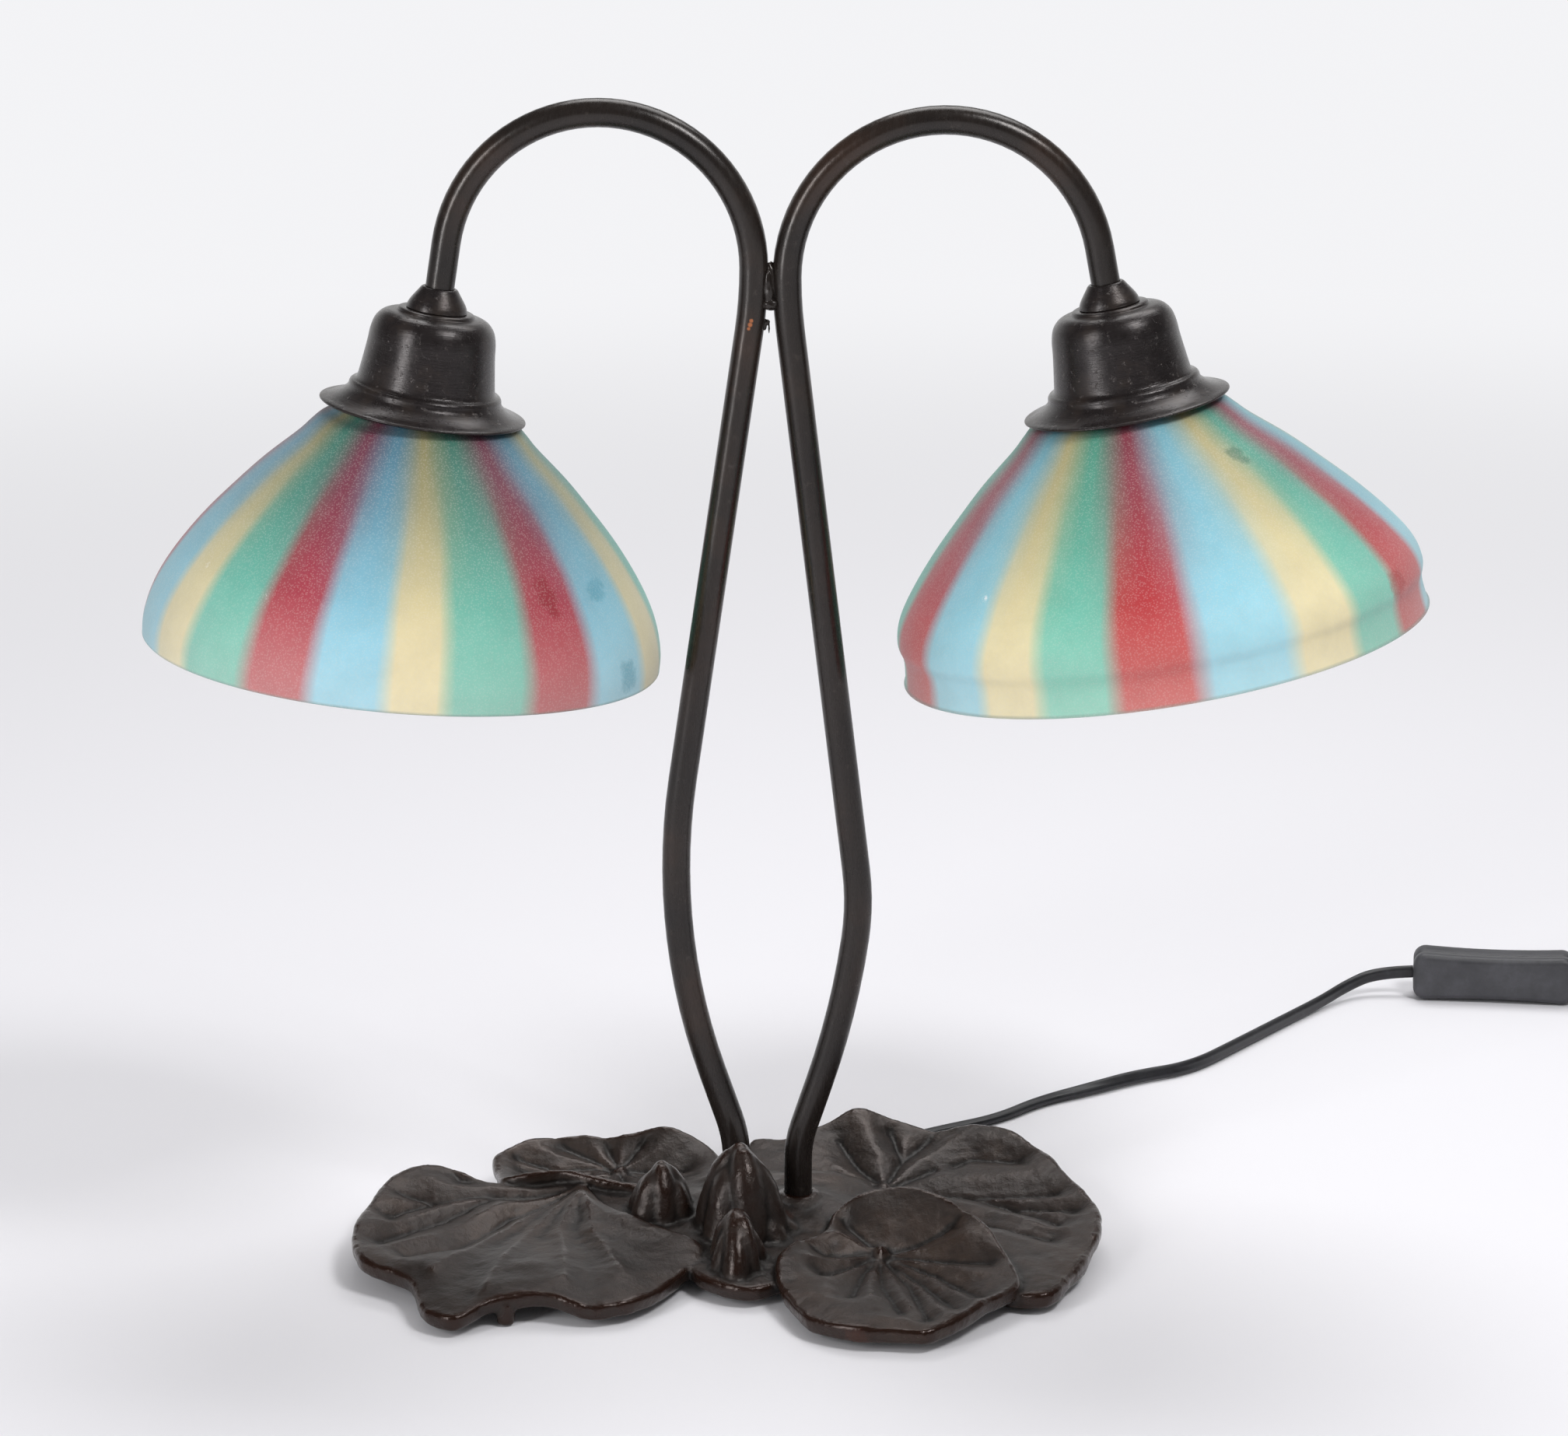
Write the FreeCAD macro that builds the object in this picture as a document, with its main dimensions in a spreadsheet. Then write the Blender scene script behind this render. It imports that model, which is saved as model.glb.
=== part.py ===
import FreeCAD, Part
import math
import os
import re
import Sketcher
from FreeCAD import Placement, Rotation, Vector

# Twin-arm table lamp: a cast lily-pad base, two goose-neck tubes and two glass shades.
# Millimetres, +Z up, the base stands on z = 0.  Most places are given from the hub, the point
# on the floor midway between the feet of the two tubes.

DRIVING_SIZES = {
    # hub and base casting
    "hub_x": -7.8,
    "hub_y": 10.55,
    "leaf_edge": 5.8,
    "leaf_plate": 4.5,
    "hub_length": 62.0,
    "hub_width": 50.0,
    "hub_shift": 6.0,
    "hub_clearance": 1.0,
    "hub_top": 15.0,
    "hub_wall": 3.5,
    "hub_roof": 3.0,
    "mound_radius": 13.0,
    "mound_top": 17.5,
    "peg_radius": 3.2,
    "big_bud_radius": 16.0,
    "big_bud_top": 44.0,
    "left_bud_radius": 12.3,
    "left_bud_top": 32.0,
    "front_bud_radius": 10.6,
    "front_bud_top": 28.0,
    "bud_root": 8.0,
    # arms
    "tube_diameter": 10.0,
    "tube_wall": 1.2,
    "tube_spacing": 22.2,
    "tube_foot_z": 6.0,
    "tube_hole_clearance": 0.15,
    "foot_rise": 24.0,
    "weld_height": 17.0,
    "weld_depth": 8.4,
    "weld_drop": 5.45,
    "left_foot_bend_radius": 50.0,
    "left_foot_bend": 19.0,
    "left_low_run": 18.0,
    "left_belly_radius": 230.0,
    "left_lean": 8.45,
    "left_high_run": 161.4,
    "left_crook_radius": 150.0,
    "left_arch_radius": 53.0,
    "left_splay": 9.0,
    "left_leg": 24.8,
    "right_foot_bend_radius": 40.0,
    "right_foot_bend": 18.5,
    "right_low_run": 17.5,
    "right_belly_radius": 300.0,
    "right_knee_angle": 8.0,
    "right_knee_radius": 100.0,
    "right_lean": 6.9,
    "right_high_run": 194.9,
    "right_crook_radius": 150.0,
    "right_arch_radius": 54.0,
    "right_splay": 10.8,
    "right_leg": 21.5,
    # lock nuts and washers at the tubes' feet
    "foot_nut_flats": 14.0,
    "foot_nut_height": 4.0,
    "foot_washer_radius": 8.4,
    "foot_washer_height": 1.0,
    # holder bells
    "bell_height": 37.6,
    "bell_disc_radius": 13.0,
    "bell_disc_height": 1.2,
    "bell_shoulder_radius": 22.4,
    "bell_waist_radius": 24.2,
    "bell_bead_radius": 27.0,
    "bell_flare_radius": 36.5,
    "bell_wall": 1.0,
    "neck_nut_radius": 8.8,
    "neck_nut_height": 7.8,
    "thread_reach": 12.0,
    # lampholders
    "lampholder_radius": 13.4,
    "lampholder_flange_radius": 17.0,
    "lampholder_flange": 3.0,
    "lampholder_flange_depth": 29.0,
    "lampholder_length": 50.0,
    "lampholder_wall": 3.0,
    "lampholder_neck_radius": 8.0,
    "lampholder_neck": 14.0,
    "lamp_shell_wall": 0.5,
    "lamp_shell_length": 20.0,
    "lamp_contact_radius": 3.0,
    "lamp_contact_height": 3.0,
    "shade_ring_radius": 20.0,
    "shade_ring_height": 6.0,
    "shade_ring_step": 3.0,
    "shade_ring_lip": 2.0,
    "thread_clearance": 0.15,
    # glass
    "glass_wall": 3.0,
    "glass_hole_radius": 15.2,
    "left_seat_gap": 1.24,
    "right_seat_gap": 0.23,
    "glass_crown": 7.6,
    "glass_height": 83.4,
    "glass_neck_radius": 34.0,
    "left_glass_radius": 90.4,
    "right_glass_radius": 93.0,
    "left_glass_tilt": 5.5,
    "right_glass_tilt": 11.4,
    # bulbs
    "bulb_radius": 22.5,
    "bulb_neck_radius": 8.4,
    "bulb_length": 78.0,
    "bulb_cap_radius": 6.9,
    "bulb_cap_length": 24.0,
    "bulb_wall": 0.8,
    # wiring
    "wire_radius": 1.5,
    "wire_bend_radius": 4.0,
    "wire_bend_sink": 2.3,
    "block_length": 30.0,
    "block_width": 12.0,
    "block_height": 7.4,
    "block_bottom": 3.0,
    "block_screw_radius": 1.7,
    "block_screw_gap": 0.2,
    "block_screw_sink": 3.0,
    "block_gap": 2.2,
    "cover_thickness": 1.2,
    "cover_margin": 0.4,
    "cover_screw_radius": 1.5,
    "cover_screw_length": 9.0,
    "cover_screw_head_radius": 2.9,
    "cover_screw_head": 1.1,
    "cover_post_radius": 4.0,
    "cord_diameter": 5.2,
    "bush_radius": 3.9,
    "bush_inside": 0.3,
    "bush_flange_radius": 4.4,
    "bush_flange": 1.6,
    "exit_x": 8.0,
    "exit_z": 5.3,
    "channel_width": 10.0,
    "channel_height": 9.9,
    "channel_length": 16.0,
    # in-line switch
    "switch_x": 304.75,
    "switch_y": 278.75,
    "switch_turn": -7.3,
    "switch_length": 67.0,
    "switch_width": 21.0,
    "switch_waist": 18.4,
    "switch_corner": 4.6,
    "switch_back": 5.4,
    "switch_depth": 16.6,
    "switch_wall": 1.7,
    "switch_seam": 0.1,
    "rocker_length": 20.0,
    "rocker_width": 9.0,
    "rocker_gap": 0.7,
    "rocker_rise": 2.6,
    "rocker_angle": 7.0,
    "pivot_sink": 1.6,
    "cheek_length": 7.0,
    "cheek_drop": 2.6,
    "rocker_root_width": 6.0,
    "rocker_root_drop": 2.4,
    "rocker_end_height": 3.4,
    "rocker_end_draft": 0.8,
    "rocker_pin_radius": 1.1,
    "rocker_pin_reach": 1.3,
    "pin_clearance": 0.08,
    "contact_length": 17.0,
    "contact_width": 4.0,
    "contact_height": 3.4,
    "contact_offset": 17.0,
    # coil, tie and plug
    "coil_x": 385.4,
    "coil_y": 227.1,
    "coil_radius": 41.0,
    "coil_pitch": 5.75,
    "coil_layer": 5.75,
    "coil_z": 3.5,
    "coil_start": 80.0,
    "coil_turns": 7,
    "tie_width": 5.0,
    "tie_thickness": 0.7,
    "tie_clearance": 0.2,
    "tie_angle": 200.0,
    "plug_y": 187.0,
    "plug_width": 35.0,
    "plug_height": 13.8,
    "plug_length": 36.0,
    "plug_nose_width": 26.0,
    "plug_neck_width": 16.0,
    "plug_chamfer": 1.6,
    "plug_relief_radius": 6.2,
    "plug_relief": 24.0,
    "pin_radius": 2.0,
    "pin_length": 19.0,
    "pin_spacing": 18.4,
    "pin_root": 6.0,
    "pin_sleeve": 10.0,
    "pin_sleeve_wall": 0.4,
}

# Outlines of the pads: x, y from the hub and the height of the top edge, anticlockwise.
FRONT_LEFT_PAD = [
    (-23, -39, 12), (-31, -62, 9), (-49, -86, 9), (-59, -89, 8.4), (-78, -85, 12), (-94, -88, 10.5),
    (-107, -98, 8.4), (-116, -93, 8.4), (-125, -69, 11), (-142, -55, 13), (-147, -37, 14), (-143, -4, 16),
    (-135, 19, 18), (-121, 26, 19), (-102, 19, 16), (-84, 19, 14), (-68, 15, 15), (-58, -6, 14),
    (-42, -24, 15),
]
BACK_LEFT_PAD = [
    (-16, 44, 12), (-22, 57, 15), (-39, 64, 20), (-54, 63, 17), (-76, 63, 17), (-93, 58, 16),
    (-102, 46, 14), (-100, 32, 13), (-97, 19, 15.5), (-86, 17, 18), (-76, 17, 19), (-64, 13, 18),
    (-50, 10, 16), (-32, 14, 13), (-18, 28, 12),
]
BACK_RIGHT_PAD = [
    (-8, 46, 13), (-6, 60, 16), (8, 61, 16), (20, 66, 20), (34, 72, 24), (48, 70, 21), (62, 66, 18),
    (76, 65, 20), (88, 59, 21), (101, 42, 19), (112, 16, 16), (120, -10, 14), (118, -28, 12),
    (108, -58, 9), (96, -77, 8.4), (84, -74, 8.4), (66, -52, 9), (36, -20, 10), (14, 8, 11), (0, 28, 12),
]
FRONT_RIGHT_PAD = [
    (88, -72, 11), (86, -58, 13), (82, -44, 16), (74, -28, 20), (62, -17, 23), (50, -11, 24), (36, -11, 22),
    (24, -18, 18), (20, -30, 14), (10, -42, 15), (4, -52, 14), (3, -66, 12), (7, -83, 10), (15, -100, 9),
    (27, -108, 9), (44, -111, 9), (54, -112, 9), (66, -102, 10), (76, -89, 11),
]
BUD_WEB = [
    (-22, -61, 9), (-4, -70, 8.4), (8, -60, 9), (14, -40, 10), (10, -15, 12), (-20, -4, 12), (-46, -4, 12),
    (-42, -28, 11),
]
# middle of each pad: x, y and height there
PADS = {
    "front_left_pad": (FRONT_LEFT_PAD, (-82, -34, 11.5)),
    "back_left_pad": (BACK_LEFT_PAD, (-58, 38, 11)),
    "back_right_pad": (BACK_RIGHT_PAD, (54, 10, 11)),
    "front_right_pad": (FRONT_RIGHT_PAD, (44, -58, 9)),
    "bud_web": (BUD_WEB, (-14, -35, 10)),
}
# buds: x, y from the hub, sizes' first word, depth as a share of the width
BUDS = [("big_bud", -12.5, -21.0, 1.05), ("left_bud", -38.0, -6.0, 1.05), ("front_bud", -10.7, -46.0, 1.3)]
# peg feet: x, y from the hub and the height up to which they run into the pads
PEGS = [(-90.0, -84.0, 8.0), (92.0, -66.0, 8.0), (66.0, 40.0, 12.0), (-62.0, 42.0, 9.0)]

# Shape of one shade: share of the height below the neck, share of the way from neck to rim.
GLASS_FORM = [(0.125, 0.145), (0.25, 0.352), (0.375, 0.528), (0.5, 0.695), (0.625, 0.838), (0.735, 0.945),
              (0.83, 0.99), (0.925, 0.98), (1.0, 1.0)]

# Free cord from the base to the switch, as x, y, z from the hub.  It starts at the bush.
CORD_TO_SWITCH = [
    (8, 44, 5.3), (9.6, 57, 4.2), (18, 72, 3.2), (32, 86, 2.7), (50, 98, 2.7), (67.3, 110, 2.7),
    (89.3, 123, 2.7), (106, 143, 2.7), (127, 155, 2.7), (146, 169, 2.7), (169, 180, 2.7), (191, 210, 2.7),
    (217, 246, 2.7), (231, 264, 3.0), (242.5, 277.8, 5.6), (256.0, 285.0, 9.4),
]
# Free cord from the switch to the coil, and from the coil to the plug.
CORD_TO_COIL = [(350, 273.0, 9.8), (363, 271.9, 5.4), (376.1, 270.4, 3.6)]
CORD_TO_PLUG = [(426.4, 211, 9.0), (426.4, 199, 7.1)]

doc = FreeCAD.newDocument("lamp")
sheet = doc.addObject("Spreadsheet::Sheet", "Sizes")
for row, (alias, value) in enumerate(DRIVING_SIZES.items(), start=1):
    sheet.set("A%d" % row, alias)
    sheet.set("B%d" % row, str(value))
    sheet.setAlias("B%d" % row, alias)
doc.recompute()

subparts = {}


def size(alias):
    return float(sheet.get(alias))


def formula(text):
    """Write Sizes. before each size named in the text."""
    words = re.split(r"([a-z_]+)", text)
    return "".join("Sizes." + word if word in DRIVING_SIZES else word for word in words)


def bind(item, **formulas):
    for prop, text in formulas.items():
        item.setExpression(prop, formula(str(text)))
    return item


def put(item, x="0", y="0", z="0"):
    for axis, text in (("x", x), ("y", y), ("z", z)):
        if str(text) != "0":
            item.setExpression(".Placement.Base." + axis, formula(str(text)))
    return item


def primitive(kind, name, x="0", y="0", z="0", **formulas):
    item = doc.addObject("Part::" + kind, name)
    bind(item, **formulas)
    return put(item, x, y, z)


def fuse(name, *pieces):
    item = doc.addObject("Part::MultiFuse", name)
    item.Shapes = list(pieces)
    return item


def cut(name, base, *tools):
    item = doc.addObject("Part::Cut", name)
    item.Base = base
    item.Tool = tools[0] if len(tools) == 1 else fuse(name + "_tools", *tools)
    return item


def feature(name, shape, placement=None):
    item = doc.addObject("Part::Feature", name)
    item.Shape = shape
    if placement is not None:
        item.Placement = placement
    return item


def subpart(name, item, placement=None):
    item.Label = name
    if placement is not None:
        item.Placement = placement
    subparts[name] = item
    return item


def turned(name, outline):
    """A body of revolution: outline is a closed list of (radius, height) formulas."""
    body = doc.addObject("PartDesign::Body", name + "_body")
    sketch = body.newObject("Sketcher::SketchObject", name + "_sketch")
    plane = [f for f in body.Origin.OriginFeatures if f.Role == "XZ_Plane"][0]
    sketch.AttachmentSupport = [(plane, "")]
    sketch.MapMode = "FlatFace"
    corners = [(value_of(radius), value_of(height)) for radius, height in outline]
    for index, corner in enumerate(corners):
        following = corners[(index + 1) % len(corners)]
        sketch.addGeometry(Part.LineSegment(Vector(*corner, 0), Vector(*following, 0)))
    count = len(corners)
    for index in range(count):
        sketch.addConstraint(Sketcher.Constraint("Coincident", index, 2, (index + 1) % count, 1))
    for index, (radius, height) in enumerate(outline):
        for kind, text, reference, number in (("DistanceX", radius, -2, corners[index][0]),
                                              ("DistanceY", height, -1, corners[index][1])):
            if str(text) == "0":
                sketch.addConstraint(Sketcher.Constraint("PointOnObject", index, 1, reference))
                continue
            place = sketch.addConstraint(Sketcher.Constraint(kind, -1, 1, index, 1, number))
            sketch.setExpression("Constraints[%d]" % place, formula(str(text)))
    turn = body.newObject("PartDesign::Revolution", name + "_turn")
    turn.Profile = sketch
    turn.ReferenceAxis = (sketch, ["V_Axis"])
    turn.Angle = 360.0
    return body


def value_of(text):
    """The number that a formula of sizes gives."""
    numbers = {alias: size(alias) for alias in DRIVING_SIZES if alias in str(text)}
    total = doc.getObject("Sizes").evalExpression(formula(str(text))) if numbers else float(text)
    return float(total)


def closed_curve(points):
    curve = Part.BSplineCurve()
    curve.interpolate(Points=[Vector(*p) for p in points], PeriodicFlag=True)
    return Part.Wire([curve.toShape()])


def pad_shape(outline, middle):
    """A dished pad with a wavy rim: rings of the same outline, drawn in towards the middle."""
    edge = size("leaf_edge")
    plate = size("leaf_plate")

    def ring(share, drop):
        points = []
        for x, y, z in outline:
            rise = (z - middle[2]) * share ** 2 if share > flat_share else 0.0
            points.append((middle[0] + (x - middle[0]) * share, middle[1] + (y - middle[1]) * share,
                           middle[2] + rise - drop))
        return closed_curve(points)

    flat_share = 0.15
    below = [ring(flat_share, plate), ring(0.6, plate), ring(1.0, edge)]
    above = [ring(1.0, 0.0), ring(0.6, 0.0), ring(flat_share, 0.0)]
    return Part.makeLoft(below + above, True, True)


# ---- base casting
hub = Vector(size("hub_x"), size("hub_y"), 0)
half_spacing = "tube_spacing / 2"
pads = [feature(name, pad_shape(*pad)) for name, pad in PADS.items()]
buds = []
for name, x, y, depth in BUDS:
    bud = primitive("Ellipsoid", name, x, y, "bud_root", Radius1=name + "_top - bud_root",
                    Radius2=name + "_radius", Radius3="%s_radius * %s" % (name, depth))
    bud.Angle1 = 0.0
    buds.append(bud)
cord_channel = primitive("Box", "cord_channel", "exit_x - channel_width / 2", "hub_shift + hub_width / 2", 0,
                         Length="channel_width", Width="channel_length", Height="channel_height")
hub_block = primitive("Box", "hub_block", "-hub_length / 2", "hub_shift - hub_width / 2", "hub_clearance",
                      Length="hub_length", Width="hub_width", Height="hub_top - hub_clearance")
mounds = [primitive("Cone", "mound", "%s * %s" % (side, half_spacing), 0, "hub_top - hub_roof",
                    Radius1="mound_radius", Radius2="tube_diameter / 2 + 2",
                    Height="mound_top - hub_top + hub_roof") for side in (-1, 1)]
pegs = [primitive("Cylinder", "peg", x, y, 0, Radius="peg_radius", Height=height) for x, y, height in PEGS]
post_x = "(hub_length / 2 - hub_wall - cover_post_radius + 1)"
block_back = "hub_shift + hub_width / 2 - hub_wall - bush_inside - block_gap"
cover_posts = [primitive("Cylinder", "cover_post", "%s * %s" % (side, post_x), "hub_shift",
                         "hub_clearance + cover_thickness + cover_margin", Radius="cover_post_radius",
                         Height="hub_top - hub_clearance - cover_thickness - cover_margin - hub_roof / 2")
               for side in (-1, 1)]
cavity = primitive("Box", "cavity", "hub_wall - hub_length / 2", "hub_shift - hub_width / 2 + hub_wall", 0,
                   Length="hub_length - 2 * hub_wall", Width="hub_width - 2 * hub_wall",
                   Height="hub_top - hub_roof")
tube_holes = [primitive("Cylinder", "tube_hole", "%s * %s" % (side, half_spacing), 0, 0,
                        Radius="tube_diameter / 2 + tube_hole_clearance", Height="big_bud_top + hub_top")
              for side in (-1, 1)]
post_holes = [primitive("Cylinder", "post_hole", "%s * %s" % (side, post_x), "hub_shift", 0,
                        Radius="cover_screw_radius",
                        Height="cover_screw_length + hub_clearance + cover_margin")
              for side in (-1, 1)]
bush_hole = primitive("Cylinder", "bush_hole", "exit_x", "hub_shift + hub_width / 2 - hub_wall - bush_inside",
                      "exit_z", Radius="bush_radius", Height="hub_wall + 2 * bush_inside")
bush_hole.Placement = Placement(Vector(), Rotation(Vector(1, 0, 0), -90))
outer_casting = fuse("outer_casting", hub_block, *(pads + buds + mounds + pegs))
hollow_casting = cut("hollow_casting", outer_casting, cavity)
posted_casting = fuse("posted_casting", hollow_casting, *cover_posts)
base_casting = cut("base_casting", posted_casting, bush_hole, cord_channel, *(tube_holes + post_holes))
subpart("base_casting", base_casting, Placement(hub, Rotation()))


# ---- arms
def bent_path(start, steps):
    """Edges of a tube's centre line in the arms' plane, from runs and (radius, turn) bends.

    Turns are degrees towards +X.  Returns the edges, the end point and the end heading."""
    point = Vector(start)
    heading = 0.0
    edges = []
    for step in steps:
        direction = Vector(math.sin(heading), 0, math.cos(heading))
        if not isinstance(step, tuple):
            following = point + direction * step
            edges.append(Part.LineSegment(point, following).toShape())
            point = following
            continue
        radius, turn = step[0], math.radians(step[1])
        side = math.copysign(1.0, turn)
        across = Vector(math.cos(heading), 0, -math.sin(heading)) * side
        centre = point + across * radius

        def on_arc(angle):
            away = heading + side * angle
            return centre - Vector(math.cos(away), 0, -math.sin(away)) * side * radius

        middle = on_arc(abs(turn) / 2)
        following = on_arc(abs(turn))
        edges.append(Part.Arc(point, middle, following).toShape())
        point = following
        heading += turn
    return edges, point, math.degrees(heading)


def pipe(edges, radius, start, direction):
    ring = Part.Wire([Part.makeCircle(radius, start, direction)])
    return Part.Wire(edges).makePipeShell([ring], True, False)


def arm_steps(side, last_run):
    """Runs and bends of one arm, and how many of them come before its arch."""
    first_rise = size("foot_rise")
    if side == "left":
        stem = [first_rise, (size("left_foot_bend_radius"), -size("left_foot_bend")), size("left_low_run"),
                (size("left_belly_radius"), size("left_foot_bend") + size("left_lean")),
                size("left_high_run"), (size("left_crook_radius"), -size("left_lean"))]
        arch = (size("left_arch_radius"), -(180 - size("left_splay")))
    else:
        stem = [first_rise, (size("right_foot_bend_radius"), size("right_foot_bend")), size("right_low_run"),
                (size("right_belly_radius"), size("right_knee_angle") - size("right_foot_bend")),
                (size("right_knee_radius"), -size("right_knee_angle") - size("right_lean")),
                size("right_high_run"), (size("right_crook_radius"), size("right_lean"))]
        arch = (size("right_arch_radius"), 180 - size("right_splay"))
    return stem + [arch, last_run], len(stem)


tube_radius = size("tube_diameter") / 2
bore_radius = tube_radius - size("tube_wall")
up = Vector(0, 0, 1)
ends = {}
arch_feet = {}
outer_tubes = {}
for side, sign in (("left", -1), ("right", 1)):
    foot = hub + Vector(sign * size("tube_spacing") / 2, 0, size("tube_foot_z"))
    leg = size(side + "_leg")
    steps, stem_count = arm_steps(side, leg + size("thread_reach"))
    edges, tip, heading = bent_path(foot, steps)
    arch_feet[side] = bent_path(foot, steps[:stem_count])[1]
    outer = pipe(edges, tube_radius, foot, up)
    bore = pipe(edges, bore_radius, foot, up)
    outer_tubes[side] = outer
    subpart("arm_" + side, feature("arm_" + side, outer.cut(bore)))
    _, seat, _ = bent_path(foot, steps[:-1] + [leg])
    # local frame of the bell: origin at the middle of its top, +Z back up the tube
    ends[side] = Placement(seat, Rotation(Vector(0, 1, 0), heading - 180 * (1 if heading > 0 else -1)))
    # wiring: from the terminal block along the cavity, up into the tube and out at its tip
    bend = size("wire_bend_radius")
    wire_z = size("tube_foot_z") + size("wire_bend_sink") - bend
    block_face = value_of(block_back) - size("block_width")
    tail_start = hub + Vector(sign * size("tube_spacing") / 2, block_face, wire_z)
    tail_bend = hub + Vector(sign * size("tube_spacing") / 2, bend, wire_z)
    tail_top = hub + Vector(sign * size("tube_spacing") / 2, 0, wire_z + bend)
    tail_middle = hub + Vector(sign * size("tube_spacing") / 2, bend * (1 - math.sqrt(0.5)),
                               wire_z + bend * (1 - math.sqrt(0.5)))
    wire_steps = [steps[0] - tail_top.z + foot.z] + steps[1:-1] + [leg + size("lampholder_neck")]
    wire_edges, _, _ = bent_path(tail_top, wire_steps)
    tail = [Part.LineSegment(tail_start, tail_bend).toShape()]
    tail.append(Part.Arc(tail_bend, tail_middle, tail_top).toShape())
    wire = pipe(tail + wire_edges, size("wire_radius"), tail_start, Vector(0, -1, 0))
    subpart("arm_wire_" + side, feature("arm_wire_" + side, wire))

# weld bead that fills the gap between the tubes just below their arches
weld = Part.makeSphere(1.0)
stretch = FreeCAD.Matrix()
stretch.scale(Vector((arch_feet["right"].x - arch_feet["left"].x) / 2, size("weld_depth") / 2,
                     size("weld_height") / 2))
weld = weld.transformGeometry(stretch)
weld_middle = (arch_feet["left"] + arch_feet["right"]) * 0.5
weld.translate(weld_middle - Vector(0, 0, size("weld_drop")))
weld = weld.cut(outer_tubes["left"]).cut(outer_tubes["right"])
subpart("arm_weld", feature("arm_weld", weld))

foot_nuts = []
foot_washers = []
roof = "hub_top - hub_roof"
for sign in (-1, 1):
    x = "%d * %s" % (sign, half_spacing)
    washer = primitive("Cylinder", "foot_washer", x, 0, roof + " - foot_washer_height",
                       Radius="foot_washer_radius", Height="foot_washer_height")
    nut = primitive("Prism", "foot_nut", x, 0, roof + " - foot_washer_height - foot_nut_height",
                    Circumradius="foot_nut_flats / sqrt(3)", Height="foot_nut_height")
    nut.Polygon = 6
    hole = primitive("Cylinder", "foot_nut_hole", x, 0, 0, Radius="tube_diameter / 2", Height="hub_top")
    foot_washers.append(cut("foot_washer_ring", washer, hole))
    foot_nuts.append(cut("foot_nut_ring", nut, hole))
for name, rings in (("arm_foot_washers", foot_washers), ("arm_foot_nuts", foot_nuts)):
    group = doc.addObject("Part::Compound", name)
    group.Links = rings
    subpart(name, group, Placement(hub, Rotation()))


# ---- bells, lampholders, rings, glass and bulbs on each tube's end
def inset(points, wall):
    """The points moved square to their curve by the wall, towards the axis side."""
    moved = []
    for index, (radius, z) in enumerate(points):
        before = points[max(index - 1, 0)]
        after = points[min(index + 1, len(points) - 1)]
        run = math.hypot(after[0] - before[0], after[1] - before[1])
        moved.append((radius + wall * (after[1] - before[1]) / run, z - wall * (after[0] - before[0]) / run))
    return moved


def smooth_face(outer, inner):
    """A closed face in the XZ plane between two open smooth curves given as (radius, height)."""
    outer = [Vector(radius, 0, z) for radius, z in outer]
    inner = [Vector(radius, 0, z) for radius, z in inner]
    curves = []
    for points in (outer, inner):
        curve = Part.BSplineCurve()
        curve.interpolate(Points=points)
        curves.append(curve.toShape())
    lower_edge = Part.LineSegment(outer[-1], inner[-1]).toShape()
    upper_edge = Part.LineSegment(inner[0], outer[0]).toShape()
    return Part.Face(Part.Wire([curves[0], lower_edge, curves[1].reversed(), upper_edge]))


def revolved(face):
    return face.revolve(Vector(0, 0, 0), Vector(0, 0, 1), 360)


def bell_shape():
    wall = size("bell_wall")
    disc = size("bell_disc_radius")
    disc_height = size("bell_disc_height")
    shoulder = size("bell_shoulder_radius")
    waist = size("bell_waist_radius")
    bead = size("bell_bead_radius")
    flare = size("bell_flare_radius")
    height = size("bell_height")
    body = [(disc + 0.6, -disc_height), (shoulder - 3.6, -disc_height - 0.9), (shoulder - 0.8, -5.6),
            (shoulder, -10.5), (shoulder + 0.6, -17.0), (waist, -height * 0.66),
            (waist + 0.9, -height * 0.76), (bead, -height * 0.8), (bead + 1.6, -height * 0.87),
            (bead + 4.6, -height * 0.94), (flare - 1.2, -height * 0.985), (flare, -height)]
    shell = revolved(smooth_face(body, inset(body, wall)))
    top = Part.makeCylinder(disc + 0.6, wall, Vector(0, 0, -disc_height - wall))
    disc_plate = Part.makeCylinder(disc, disc_height, Vector(0, 0, -disc_height))
    hole = Part.makeCylinder(tube_radius + size("tube_hole_clearance"), height, Vector(0, 0, -height))
    return shell.fuse([top, disc_plate]).cut(hole).removeSplitter()


def glass_shape(rim_radius):
    """The shade about its own axis: z = 0 at the neck, the crown with its hole above."""
    neck = size("glass_neck_radius")
    height = size("glass_height")
    crown = size("glass_crown")
    wall = size("glass_wall")
    hole = size("glass_hole_radius")
    # the shoulder keeps clear of the flare of the bell, even when the glass hangs askew
    outer = [(hole, crown), (hole + 2.5, crown), (hole + 5.0, crown), (hole + 7.4, crown - 0.6),
             (neck - 8.6, crown * 0.66), (neck - 6.4, crown * 0.3), (neck - 3.4, -crown * 0.05),
             (neck + 0.4, -crown * 0.32), (neck + 3.7, -crown * 0.74)]
    for share, spread in GLASS_FORM:
        outer.append((neck + (rim_radius - neck) * spread, -height * share))
    return revolved(smooth_face(outer, inset(outer, wall)))


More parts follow.
